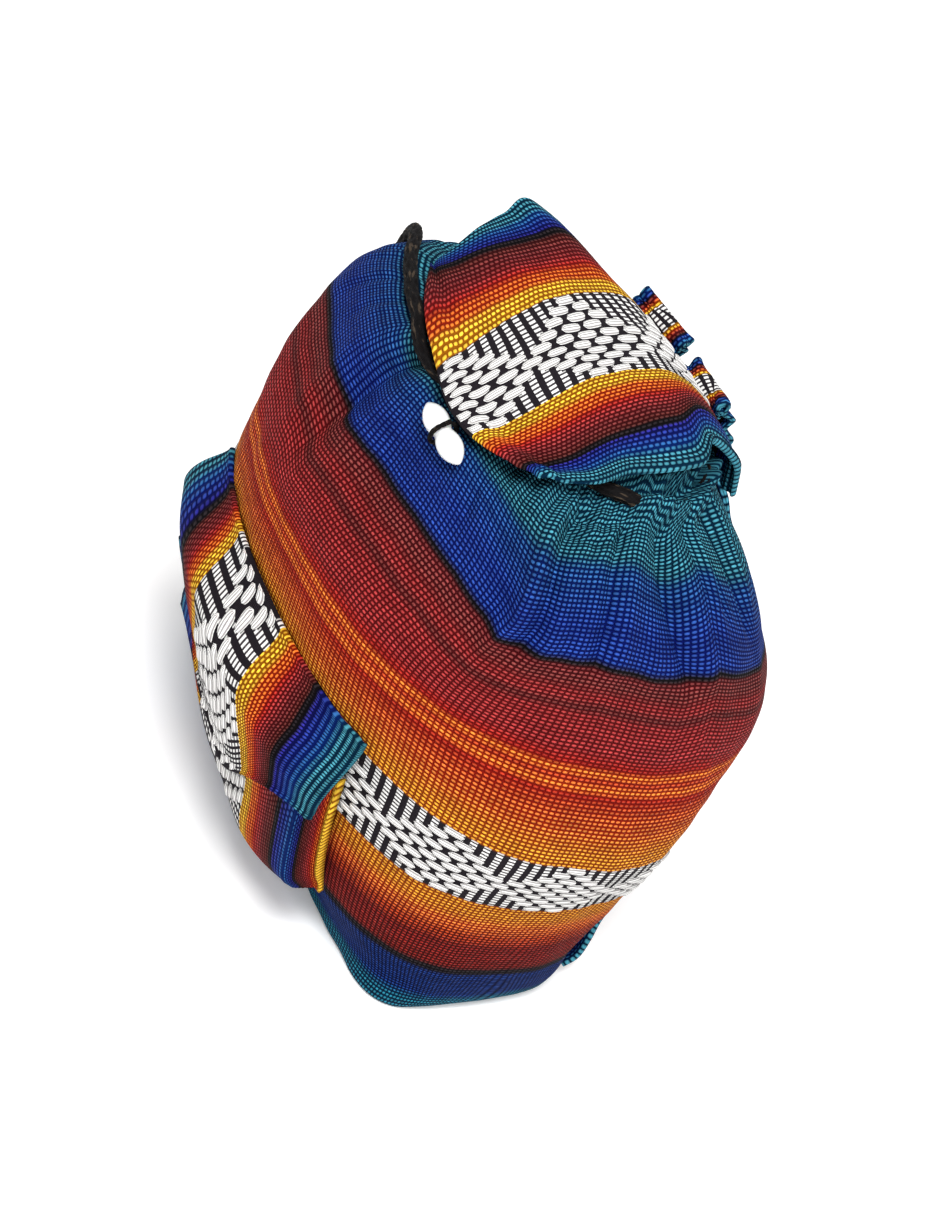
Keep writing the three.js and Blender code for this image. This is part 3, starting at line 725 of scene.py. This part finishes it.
def sack_relief(angle, v):
    """Fine folds of the sack's cloth that its solid doesn't have, in metres."""
    point = plain_sack(angle, v)
    relief = 0.00045 * unevenness(point, 3, 0.035) + 0.00028 * unevenness(point, 5, 0.016)
    drawn = smooth((v - 0.78) / 0.16)
    a = np.radians(angle)
    ribs = 0.5 * np.cos(37 * a + 3 * np.sin(2 * a)) + 0.5 * np.cos(53 * a + 2 * np.sin(3 * a) + 1)
    relief = relief + drawn * 0.0008 * ribs
    opened = bump((turn_between(angle, LENS["angle"]) / LENS["spread"]) ** 2)
    roll = bump((v - NECK_LEVEL) / 0.0135) * (1 - opened)
    front = bump(turn_between(angle, 5) / 42)
    relief = relief + crease_relief(angle, v) + (0.0072 + 0.0014 * front) * roll * (1 + 0.05 * ribs)
    fold = np.hypot(turn_between(angle, LENS["angle"]) / 17, (v - 0.985) / 0.075)
    relief = relief + 0.0010 * np.cos(fold * 22) * bump((fold - 0.8) / 0.35) * (v < 0.962)
    return relief + above_neck(v) * 0.0016 * np.cos(24 * a + 2 * np.sin(3 * a))


def sack_skin(angle, v, lift=0.0):
    point = on_sack(angle, v, sack_relief(angle, v) + lift)
    standing = above_neck(v) * bump((turn_between(angle, MOUTH["angle"]) / MOUTH["spread"]) ** 2)
    point[..., 2] += standing * MOUTH["rise"]
    return point


SACK_SIDES = 540  # columns of the sack's mesh


def make_sack():
    """The sack's outer face, turned in over the rim of its mouth."""
    angles = np.linspace(-180, 180, SACK_SIDES + 1)[:-1]
    levels = np.concatenate([
        np.linspace(0, 0.76, 98), np.linspace(0.766, 0.93, 42), np.linspace(0.934, 1, 34)])
    inner = np.linspace(1, 0.93, 10)
    v = np.concatenate([levels, inner])
    sunk = -0.0014 * smooth(np.arange(1, len(inner) + 1) / 2)
    lift = np.concatenate([np.zeros(len(levels)), sunk])
    points = sack_skin(angles[None, :], v[:, None], lift[:, None])
    points = np.concatenate([points, points[:, :1]], 1)
    turns = np.append(angles, 180.0)
    stripe = stripe_place(turns[None, :], v[:, None])
    uv = np.stack(np.broadcast_arrays(sack_column(turns)[None, :], sack_row(stripe)), -1)
    piece = grid_mesh("sack_cloth", points, uv, stripe)
    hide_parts("sack")


def make_lining():
    """Inner face of the sack's wall."""
    angles = np.linspace(-180, 180, 161)
    v = np.linspace(0, 0.985, 60)
    points = on_sack(angles[None, :], v[:, None], crease_relief(angles[None, :], v[:, None]) - CLOTH)
    uv = np.stack(np.broadcast_arrays(sack_column(angles)[None, :], sack_row(v)[:, None]), -1)
    grid_mesh("sack_lining", points, uv, v[:, None], flip=True)


def make_base():
    """Base cloth with a doubled rim, inside the foot of the sack."""
    angles = np.linspace(-180, 180, 181)[:-1]
    foot_stripe = 0.02
    rim = on_sack(angles, 0.0, -CLOTH - GAP)[:, :2]
    middle = rim.mean(0)
    shares = np.array([1, 0.995, 0.985, 0.97, 0.93, 0.86, 0.75, 0.6, 0.4, 0.2, 0.02])
    puff = [4, 2, 0, 0, 3, 5, 5, 4, 4, 4, 4]  # heights of both faces, in tenths of millimetres
    top = [18, 22, 24, 23, 19, 18, 18, 18, 18, 18, 18]

    def disc(height):
        flat = middle + (rim - middle)[None] * shares[:, None, None]
        height = np.array(height)[:, None, None] / 10000
        return np.concatenate([flat, np.broadcast_to(height, flat.shape[:2] + (1,))], -1)

    under, over = disc(puff), disc(top)
    grid = np.concatenate([under[::-1], over])
    uv = np.stack([grid[..., 0] / BAR_PITCH, grid[..., 1] / ROW_PITCH], -1)
    piece = grid_mesh("base_cloth", grid, uv, foot_stripe, closed=True)
    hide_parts("base_panel")


sack_material = striped_cloth("sack_stripes", SACK_STRIPES, 0.0, 1.0, BAND_ON_SACK, SACK_DOTS)
wide_material = striped_cloth("wide_stripes", WIDE_STRIPES, -WIDE_HALF, WIDE_HALF,
                              (-BAND_HALF, BAND_HALF), WIDE_DOTS)
float_material = float_thread("white_floats")

make_sack()
make_lining()
make_base()
float_mesh("sack_floats", range(AROUND_COLUMNS),
           lambda u, w, lift: sack_skin(sack_angle(u), sack_level(w), lift))

# Flap

# Where the stripes cross the flap: w knots in millimetres, then v and the side at each knot.
FLAP_KNOTS = np.array([-WIDE_HALF, -41, -BAND_HALF, BAND_HALF, 41, WIDE_HALF])
FLAP_SIDES = np.array([
    (0.3, -1.04, -0.81, -0.44, 0.21, 0.58, 1.06),
    (0.42, -1.04, -0.815, -0.42, 0.195, 0.62, 1.06),
    (0.54, -1.04, -0.82, -0.4, 0.21, 0.665, 1.05),
    (0.66, -1.05, -0.835, -0.36, 0.28, 0.73, 1.03),
    (0.78, -1.08, -0.875, -0.27, 0.385, 0.785, 1.03),
    (0.9, -1.12, -0.915, -0.13, 0.5, 0.85, 1.04),
    (1, -1.15, -0.94, 0, 0.565, 0.915, 1.06),
])


def knots_at(table, v):
    """The knots' places across the cloth at places v down it: shape v.shape + (knots,)."""
    v = np.clip(v, table[0, 0], table[-1, 0])
    return np.stack([np.interp(v, table[:, 0], table[:, k]) for k in range(1, table.shape[1])], -1)


def knots_round(table, v, find):
    """The stripe coordinates and the places of the two knots that find picks at v."""
    at = knots_at(table, v)
    i = np.clip(find(at) - 1, 0, len(FLAP_KNOTS) - 2)
    low, high = (np.take_along_axis(at, i[..., None] + k, -1)[..., 0] for k in (0, 1))
    return FLAP_KNOTS[i], FLAP_KNOTS[i + 1], low, high


def stripe_of(table, place, v):
    """Stripe coordinate of places across the cloth, by straight steps between the knots."""
    first, last, low, high = knots_round(table, v, lambda at: (at <= place[..., None]).sum(-1))
    return first + (last - first) * (place - low) / (high - low)


def place_of(table, w, v):
    """The inverse of stripe_of."""
    first, last, low, high = knots_round(table, v, lambda at: np.searchsorted(FLAP_KNOTS, w, side="right"))
    return low + (high - low) * (w - first) / (last - first)


_flap_v = np.linspace(0, 1, 301)
_flap_length = lengths(on_flap(np.zeros(301), _flap_v))
FLAP_MOTIF_AT = 0.772  # v of a motif's longest upper bar
_motif_length = np.interp(FLAP_MOTIF_AT, _flap_v, _flap_length)


def flap_skin(side, v, lift=0.0):
    """The flap's upper face with its soft waves and rolled edges."""
    side, v = both(side, v)
    point = on_flap(side, v)
    normal = -normals_of(on_flap, np.clip(side, -0.995, 0.995), np.clip(v, 0.005, 0.995))
    wave = 0.0005 * unevenness(point, 11, 0.04) + 0.00025 * unevenness(point, 12, 0.015)
    free_edge = 0.0011 * bump((v - 0.965) / 0.022) - 0.0006 * bump((v - 0.915) / 0.02)
    near_edge = 0.0010 * bump((side - 0.955) / 0.035) - 0.0005 * bump((side - 0.87) / 0.04)
    return point + normal * (wave + free_edge + near_edge + lift)[..., None]


def draped(name, skin, across, down, thick, half, w, columns, rolled=1.0):
    """A closed sheet of the wide cloth whose upper face is skin. half is half its thickness."""
    front = skin(across, down, (thick - 1) * half)
    back = skin(across, down, -(thick * rolled + 1) * half)
    uv = np.stack([columns, chart_row(w)], -1)
    return closed_sheet(name, front[:, ::-1], back[:, ::-1], uv[:, ::-1], wide_share(w)[:, ::-1])


def make_flap():
    side, thick_side = rounded(130, 0.012)
    along, thick_along = rounded(150, 0.010)
    ss, vv = np.broadcast_arrays(side[None, :], (along[:, None] + 1) / 2)
    thick = np.minimum(thick_along[:, None], thick_side[None, :])
    rolled = 1 + 0.55 * bump((vv - 0.975) / 0.02) + 0.5 * bump((ss - 0.965) / 0.03)
    columns = np.interp(vv, _flap_v, _flap_length) / BAR_PITCH - _motif_length / BAR_PITCH + 5
    piece = draped("flap_cloth", flap_skin, ss, vv, thick, FLAP["thickness"] / 2,
                   stripe_of(FLAP_SIDES, ss, vv), columns, rolled)
    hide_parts("flap")
    return piece


def flap_chart(u, w, lift):
    v = np.interp((u - 5) * BAR_PITCH + _motif_length, _flap_length, _flap_v)
    side = place_of(FLAP_SIDES, row_stripe(w), v)
    return flap_skin(side, v, lift)


flap_cloth = make_flap()
_first = 5 - _motif_length / BAR_PITCH + 0.9
_last = 5 + (_flap_length[-1] - _motif_length) / BAR_PITCH + 0.6
flap_floats = float_mesh("flap_floats", range(math.ceil(_first), math.floor(_last) + 1), flap_chart)

# Pocket and its flap
POCKET_FLAP_PLACES = np.array([
    (0, -0.1, 0.2, 0.37, 0.612, 0.785, 1.03),
    (0.15, -0.1, 0.25, 0.41, 0.632, 0.795, 1.03),
    (0.35, -0.1, 0.31, 0.455, 0.672, 0.822, 1.03),
    (0.7, -0.1, 0.31, 0.455, 0.72, 0.838, 1.03),
    (1, -0.1, 0.31, 0.455, 0.745, 0.85, 1.03),
])
POCKET_PLACES = np.array([(end, -0.10, 0.31, 0.455, 0.71, 0.865, 1.00) for end in (0.0, 1.0)])
POCKET_FLAP_LENGTH = 0.059
POCKET_FLAP_MOTIF_AT = 0.011  # length down the flap to a motif's longest bar
POCKET_BAR_PITCH = 0.0033
POCKET_MIDDLE, POCKET_CLIMB = 0.3, 0.17  # sack's v half way up, and metres in a v of 1


def pocket_flap_skin(across, along, lift=0.0):
    across, along = both(across, along)
    relief = 0.0004 * unevenness(on_sack(pocket_flap_angle(across), 0.45 - 0.15 * along), 21, 0.03)
    relief = relief + 0.0009 * bump((along - 0.97) / 0.03) + 0.0007 * bump((across - 0.985) / 0.02)
    return on_pocket_flap(across, along, relief + lift)


def make_pocket_flap():
    place, thick_across = rounded(150, 0.010)
    along, thick_along = rounded(70, 0.016)
    thick = np.minimum(thick_along[:, None], thick_across[None, :])
    aa, ll = np.broadcast_arrays((place[None, :] + 1) / 2, (along[:, None] + 1) / 2)
    columns = (ll * POCKET_FLAP_LENGTH - POCKET_FLAP_MOTIF_AT) / POCKET_BAR_PITCH + 5
    piece = draped("pocket_flap_cloth", pocket_flap_skin, aa, ll, thick, POCKET["flap_thickness"] / 2,
                   stripe_of(POCKET_FLAP_PLACES, aa, ll), columns)
    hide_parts("pocket_flap")
    return piece


def pocket_flap_chart(u, w, lift):
    along = np.maximum(((u - 5) * POCKET_BAR_PITCH + POCKET_FLAP_MOTIF_AT) / POCKET_FLAP_LENGTH, 0)
    return pocket_flap_skin(place_of(POCKET_FLAP_PLACES, row_stripe(w), along), along, lift)


def pocket_skin(angle, v, share, lift=0.0):
    relief = 0.0004 * unevenness(on_sack(angle, v), 31, 0.03)
    return over_pocket(angle, v, share, CLOTH + lift + relief)


GUSSET_STRIPES = 34  # millimetres of stripes on the near gusset


def make_pocket():
    start, stop, turn = POCKET["from"], POCKET["to"], POCKET["turn"]
    angles = np.concatenate([
        np.linspace(start, start + turn, 12)[:-1], np.linspace(start + turn, stop - turn, 120),
        np.linspace(stop - turn, stop, 12)[1:]])
    bottom, rise = POCKET["bottom"], POCKET["rise"]
    levels = np.concatenate([np.linspace(bottom, bottom + rise, 12)[:-1],
                             np.linspace(bottom + rise, POCKET["top"], 60)])
    aa, vv = np.broadcast_arrays(angles[None, :], levels[:, None])
    front = pocket_skin(aa, vv, pocket_share(aa, vv))
    inset_angle = np.clip(aa, start + turn * 0.4, stop - turn * 0.4)
    inset_level = np.maximum(vv, bottom + rise * 0.4)
    back = pocket_skin(aa, vv, pocket_share(inset_angle, inset_level), -CLOTH * 0.9)
    across = (aa - pocket_flap_angle(0)) / (pocket_flap_angle(1) - pocket_flap_angle(0))
    w = stripe_of(POCKET_PLACES, across, np.ones_like(across))
    w = w - GUSSET_STRIPES * smooth((aa - stop + turn) / turn)
    uv = np.stack([(vv - POCKET_MIDDLE) * POCKET_CLIMB / POCKET_BAR_PITCH, chart_row(w)], -1)
    piece = closed_sheet("pocket_cloth", front, back, uv, wide_share(w))
    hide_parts("pocket")


def pocket_chart(u, w, lift):
    v = u * POCKET_BAR_PITCH / POCKET_CLIMB + POCKET_MIDDLE
    across = place_of(POCKET_PLACES, row_stripe(w), np.ones_like(v))
    angle = pocket_flap_angle(across)
    return pocket_skin(angle, v, pocket_share(angle, v), lift)


pocket_flap_cloth = make_pocket_flap()
pocket_flap_floats = float_mesh("pocket_flap_floats", range(2, 19), pocket_flap_chart)
make_pocket()
float_mesh("pocket_floats", range(-4, 5), pocket_chart)

# Straps
STRAP_HALF, STRAP_BAND_HALF = 12.5, 4.2  # millimetres
STRAP_LENGTH = 0.22  # metres of cloth that the weave is spread over
STRAP_STRIPES = mirrored([
    (5, "yellow"), (6, "orange"), (7, "crimson"), (8.2, "earth"), (8.6, "black"), (9.5, "royal"),
    (11, "azure"), (STRAP_HALF, "teal"),
])
strap_material = striped_cloth("strap_stripes", STRAP_STRIPES, -STRAP_HALF, STRAP_HALF,
                               (-STRAP_BAND_HALF, STRAP_BAND_HALF), WIDE_DOTS, floated=False)


def strap_skin(name, side, v, lift=0.0):
    """Middle layer of a strap with crumpled edges where it curls over."""
    side, v = both(side, v)
    point = on_strap(name, side, v)
    normal = -normals_of(lambda p, q: on_strap(name, p, q), side, np.clip(v, 0.006, 0.994))
    curl = smooth(v / 0.03) * (1 - smooth((v - 0.22) / 0.1))
    ripple = 0.0016 * curl * np.sin(v * 150 + side * 1.3) * side ** 2
    ripple = ripple + 0.0005 * unevenness(point, 41, 0.02) * smooth(v / 0.02) * smooth((1 - v) / 0.02)
    return point + normal * (ripple + lift)[..., None]


def make_strap(name):
    side, thick = rounded(36, 0.06)
    v = np.linspace(0, 1, 260)
    ss, vv = np.broadcast_arrays(side[None, :], v[:, None])
    half = STRAP["thickness"] / 2
    front = strap_skin(name, ss, vv, half * thick[None, :])
    back = strap_skin(name, ss, vv, -half * thick[None, :])
    rows = (ss * STRAP_HALF + STRAP_BAND_HALF) / (ROW_PITCH * 1000)
    uv = np.stack([vv * STRAP_LENGTH / BAR_PITCH, rows], -1)
    piece = closed_sheet(name + "_cloth", front, back, uv, (ss + 1) / 2)
    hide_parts(name)


for strap_name in STRAP_ANGLES:
    make_strap(strap_name)

# Drawcord
CORD_DIAMETER = 0.0048
CORD_ROUTE = np.array([
    (8, -52, 198.2), (5, -57, 196.8), (-1, -61, 195.2), (-8, -62.6, 194.7), (-17, -62.6, 195.2),
    (-27, -59.6, 196.8), (-34, -57.4, 196.6), (-41.5, -54.9, 195.6), (-49, -51.4, 195), (-57, -47.5, 193.8),
    (-67, -41.9, 192.9), (-76.5, -35.2, 191), (-84.8, -29.9, 187.8), (-91.6, -25, 183),
    (-97.2, -21.4, 176.6), (-101.5, -18.5, 168), (-104.6, -16.4, 158), (-106.6, -15, 148),
    (-108, -14, 138)]) / 1000
KNOT = {"length": 0.013, "diameter": 0.011}


def blend(a, b, t, start, stop):
    return ((stop - t) * a + (t - start) * b) / (stop - start)


def smooth_line(points, count):
    """A line through the points at equal steps, by centripetal Catmull-Rom curves."""
    p = np.concatenate([[2 * points[0] - points[1]], points, [2 * points[-1] - points[-2]]])
    out = []
    for k in range(len(p) - 3):
        at = [0.0]
        for j in range(k, k + 3):
            at.append(at[-1] + np.linalg.norm(p[j + 1] - p[j]) ** 0.5)
        t = np.linspace(at[1], at[2], 24, endpoint=False)[:, None]
        ab, bc, cd = (blend(p[k + j], p[k + j + 1], t, at[j], at[j + 1]) for j in range(3))
        abc, bcd = blend(ab, bc, t, at[0], at[2]), blend(bc, cd, t, at[1], at[3])
        out.append(blend(abc, bcd, t, at[1], at[2]))
    line = np.concatenate(out + [points[-1:]])
    length = lengths(line)
    even = np.linspace(0, length[-1], count)
    return np.stack([np.interp(even, length, line[:, k]) for k in range(3)], -1), length[-1]


def braid(name, line, length, diameter, sides=28):
    """A round braid along a line: strands cross over each other in two slants."""
    tangent = unit(np.gradient(line, axis=0))
    normal = np.cross(tangent[0], [0, 0, 1.0])
    frames = []
    for t in tangent:
        normal = unit(normal - t * (normal @ t))
        frames.append((normal, np.cross(t, normal)))
    n, b = (np.array([f[k] for f in frames]) for k in range(2))
    turn = np.linspace(0, 2 * np.pi, sides + 1)
    s = np.linspace(0, length, len(line))
    strands, pitch = 6, diameter * 2.2
    lay = 2 * np.pi / pitch
    slant_a = np.cos(strands * turn[None, :] + lay * s[:, None])
    slant_b = np.cos(strands * turn[None, :] - lay * s[:, None])
    over = np.maximum(slant_a, slant_b)
    radius = diameter / 2 * (0.80 + 0.20 * np.clip(over, -0.3, 1))
    points = (line[:, None] + radius[..., None] * (np.cos(turn)[None, :, None] * n[:, None]
              + np.sin(turn)[None, :, None] * b[:, None]))
    uv = np.stack(np.broadcast_arrays(
        turn[None, :] / (2 * np.pi) * strands, (s / pitch)[:, None]), -1)
    rows, columns = points.shape[:2]
    i, last, middle = np.arange(columns - 1), (rows - 1) * columns, rows * columns
    caps = [np.stack([0 * i + middle, i, i + 1], -1),
            np.stack([0 * i + middle + 1, last + i + 1, last + i], -1)]
    points = np.concatenate([points.reshape(-1, 3), [line[0], line[-1]]])
    uv = np.concatenate([uv.reshape(-1, 2), np.zeros((2, 2))])
    return make_mesh(name, points, grid_quads(rows, columns, flip=True), uv, triangles=caps)


def cord_material():
    n = Nodes("black_braid")
    along, across, flat = n.threads()
    fleck = n.step(n.noise(flat, 1.6, 3), 0.57, 0.66)
    fine = n.step(n.wave(n.add(along, across), 6), -1, 1)
    dark = n.mix(fine, linear((6, 5, 6)), linear((22, 19, 20)))
    return n.shade({
        "Base Color": n.mix(fleck, dark, linear((78, 66, 54))),
        "Roughness": 0.7,
        "Specular IOR Level": 0.12,
        "Normal": n.bump(fine, 0.0002),
    })


black_braid = cord_material()
tail_line, tail_length = smooth_line(CORD_ROUTE, 520)
drawcord = braid("drawcord", tail_line, tail_length, CORD_DIAMETER)
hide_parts("drawcord_tail")

ring_angles = turn_between(np.linspace(-100, -436, 37), 0)
ring_points = on_sack(ring_angles, NECK_LEVEL, CORD_DIAMETER / 2 + 3 * GAP)
ring_line, ring_length = smooth_line(ring_points, 760)
neck_cord = braid("neck_cord", ring_line, ring_length, CORD_DIAMETER)
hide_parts("drawcord_ring")


def make_knot():
    """End knot: an overhand knot's swollen body with the braid wound over it."""
    axis = unit(CORD_ROUTE[-1] - CORD_ROUTE[-2])
    middle = CORD_ROUTE[-1] + axis * (KNOT["length"] / 2 + GAP)
    side = unit(np.cross(axis, [0, 1, 0]))
    other = np.cross(axis, side)
    turns = np.linspace(0, 1, 240)
    swing = 2 * np.pi * 2.6 * turns
    spine = (middle + axis * ((turns - 0.5) * KNOT["length"] * 0.72)[:, None]
             + 0.0030 * (np.cos(swing)[:, None] * side + np.sin(swing)[:, None] * other))
    length = np.linalg.norm(np.diff(spine, axis=0), axis=1).sum()
    piece = braid("drawcord_knot", spine, length, CORD_DIAMETER * 0.92)
    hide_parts("cord_end_knot")
    return piece


knot = make_knot()

# Toggle and loop
TOGGLE = {"length": 0.024, "diameter": 0.0080, "waist": 0.0058, "angle": -76.8, "v": 0.878, "turn": -6}
LOOP_DIAMETER = 0.0016
LOOP_AT = 0.42  # the loop's side on the flap's free edge


def toggle_frame():
    angle, v = TOGGLE["angle"], TOGGLE["v"]
    up = outward(angle, v)
    axis = on_sack(angle + 3, v) - on_sack(angle - 3, v)
    axis = unit(axis - up * (axis @ up))
    turn = math.radians(TOGGLE["turn"])
    axis = axis * math.cos(turn) + np.cross(up, axis) * math.sin(turn)
    middle = on_sack(angle, v, TOGGLE["waist"] / 2 + LOOP_DIAMETER + 2 * GAP)
    return middle, up, axis


def make_toggle():
    profile_v = [-0.5, -0.495, -0.475, -0.44, -0.38, -0.30, -0.22, -0.14, -0.08, -0.045, -0.02, 0.0]
    profile_r = [0.0, 0.10, 0.26, 0.46, 0.72, 0.93, 1.0, 0.96, 0.86, 0.78, 0.74, 0.725]
    place = np.array(profile_v + [-x for x in profile_v[-2::-1]])
    radius = np.array(profile_r + profile_r[-2::-1]) * TOGGLE["diameter"] / 2
    fine = np.linspace(0, len(place) - 1, 90)
    place = np.interp(fine, np.arange(len(place)), place)
    radius = np.interp(fine, np.arange(len(radius)), radius)
    for _ in range(3):
        radius[1:-1] = (radius[:-2] + 2 * radius[1:-1] + radius[2:]) / 4
    middle, up, axis = toggle_frame()
    side = np.cross(axis, up)
    turn = np.linspace(0, 2 * np.pi, 65)[:-1]
    around = np.cos(turn)[None, :, None] * up + np.sin(turn)[None, :, None] * side
    points = middle + axis * (place * TOGGLE["length"])[:, None, None] + radius[:, None, None] * around
    piece = make_mesh("toggle_bead", points.reshape(-1, 3), grid_quads(90, 64, closed=True, flip=True))
    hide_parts("toggle")


def make_loop():
    """A thin cord from the flap's free edge round the toggle's waist and back."""
    middle, up, axis = toggle_frame()
    to_flap = unit(np.cross(up, axis))
    back = on_flap(LOOP_AT, 1.0) - np.array([0, 0, FLAP["thickness"] / 2]) - middle
    radius = TOGGLE["waist"] / 2 + LOOP_DIAMETER / 2 + 1.6 * GAP
    reach = max(back @ to_flap - LOOP_DIAMETER / 2 - GAP, radius)
    heights = [back @ up + side * (LOOP_DIAMETER / 2 + GAP / 2) for side in (1, -1)]
    touch = [math.atan2(h, reach) + side * math.acos(radius / math.hypot(h, reach))
             for h, side in zip(heights, (1, -1))]
    turns = np.linspace(touch[0], 2 * np.pi + touch[1], 13)
    bend = [middle + to_flap * radius * math.cos(t) + up * radius * math.sin(t) for t in turns]
    ends = [middle + to_flap * reach + up * h for h in heights]
    line, length = smooth_line(np.array([ends[0], *bend, ends[1]]), 220)
    piece = braid("toggle_cord_loop", line, length, LOOP_DIAMETER, 16)
    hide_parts("toggle_loop")


make_toggle()
make_loop()

# Declarations
white_plastic = Nodes("white_plastic").shade({
    "Base Color": linear((246, 246, 244)), "Roughness": 0.22, "Coat Weight": 0.3, "Subsurface Weight": 0.05})
for name, piece in PIECES.items():
    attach(piece, "root")
    if name == "toggle_bead":
        material = white_plastic
    elif name in ("drawcord", "neck_cord", "drawcord_knot", "toggle_cord_loop"):
        material = black_braid
    else:
        if name.endswith("floats"):
            material = float_material
        elif name.startswith("strap"):
            material = strap_material
        else:
            of_sack = name in ("sack_cloth", "sack_lining", "base_cloth")
            material = sack_material if of_sack else wide_material
    piece.data.materials.append(material)

# Floor and light


def make_stage():
    floor = make_mesh("floor", [(-6, -6, 0), (6, -6, 0), (6, 6, 0), (-6, 6, 0)], [(0, 1, 2, 3)])
    PIECES.pop("floor")
    floor.location.z = -0.0002
    floor.data.materials.append(Nodes("pale_floor").shade({
        "Base Color": linear((250, 250, 250)), "Roughness": 0.9, "Specular IOR Level": 0.1,
        "Emission Color": (1, 1, 1, 1), "Emission Strength": 0.20}))
    world = bpy.data.worlds.new("world")
    world.use_nodes = True
    background = world.node_tree.nodes["Background"]
    background.inputs[0].default_value = (1, 1, 1, 1)
    background.inputs[1].default_value = 0.48
    scene = bpy.context.scene
    scene.world = world
    scene.view_settings.view_transform = "Standard"
    scene.view_settings.look = "None"
    for name, place, size, power in [
        ("key", (0.42, -0.52, 1.20), 0.45, 16.0),
        ("fill", (1.1, 0.15, 0.8), 0.8, 5.0),
        ("back", (-0.9, 0.7, 0.9), 0.9, 3.0),
    ]:
        data = bpy.data.lights.new(name, "AREA")
        data.size, data.energy = size, power
        z = -unit(np.array(AIM) - np.array(place))
        x = unit(np.cross([0, 0, 1.0], z))
        place_object(name, data, place, [x, np.cross(z, x), z])


make_stage()
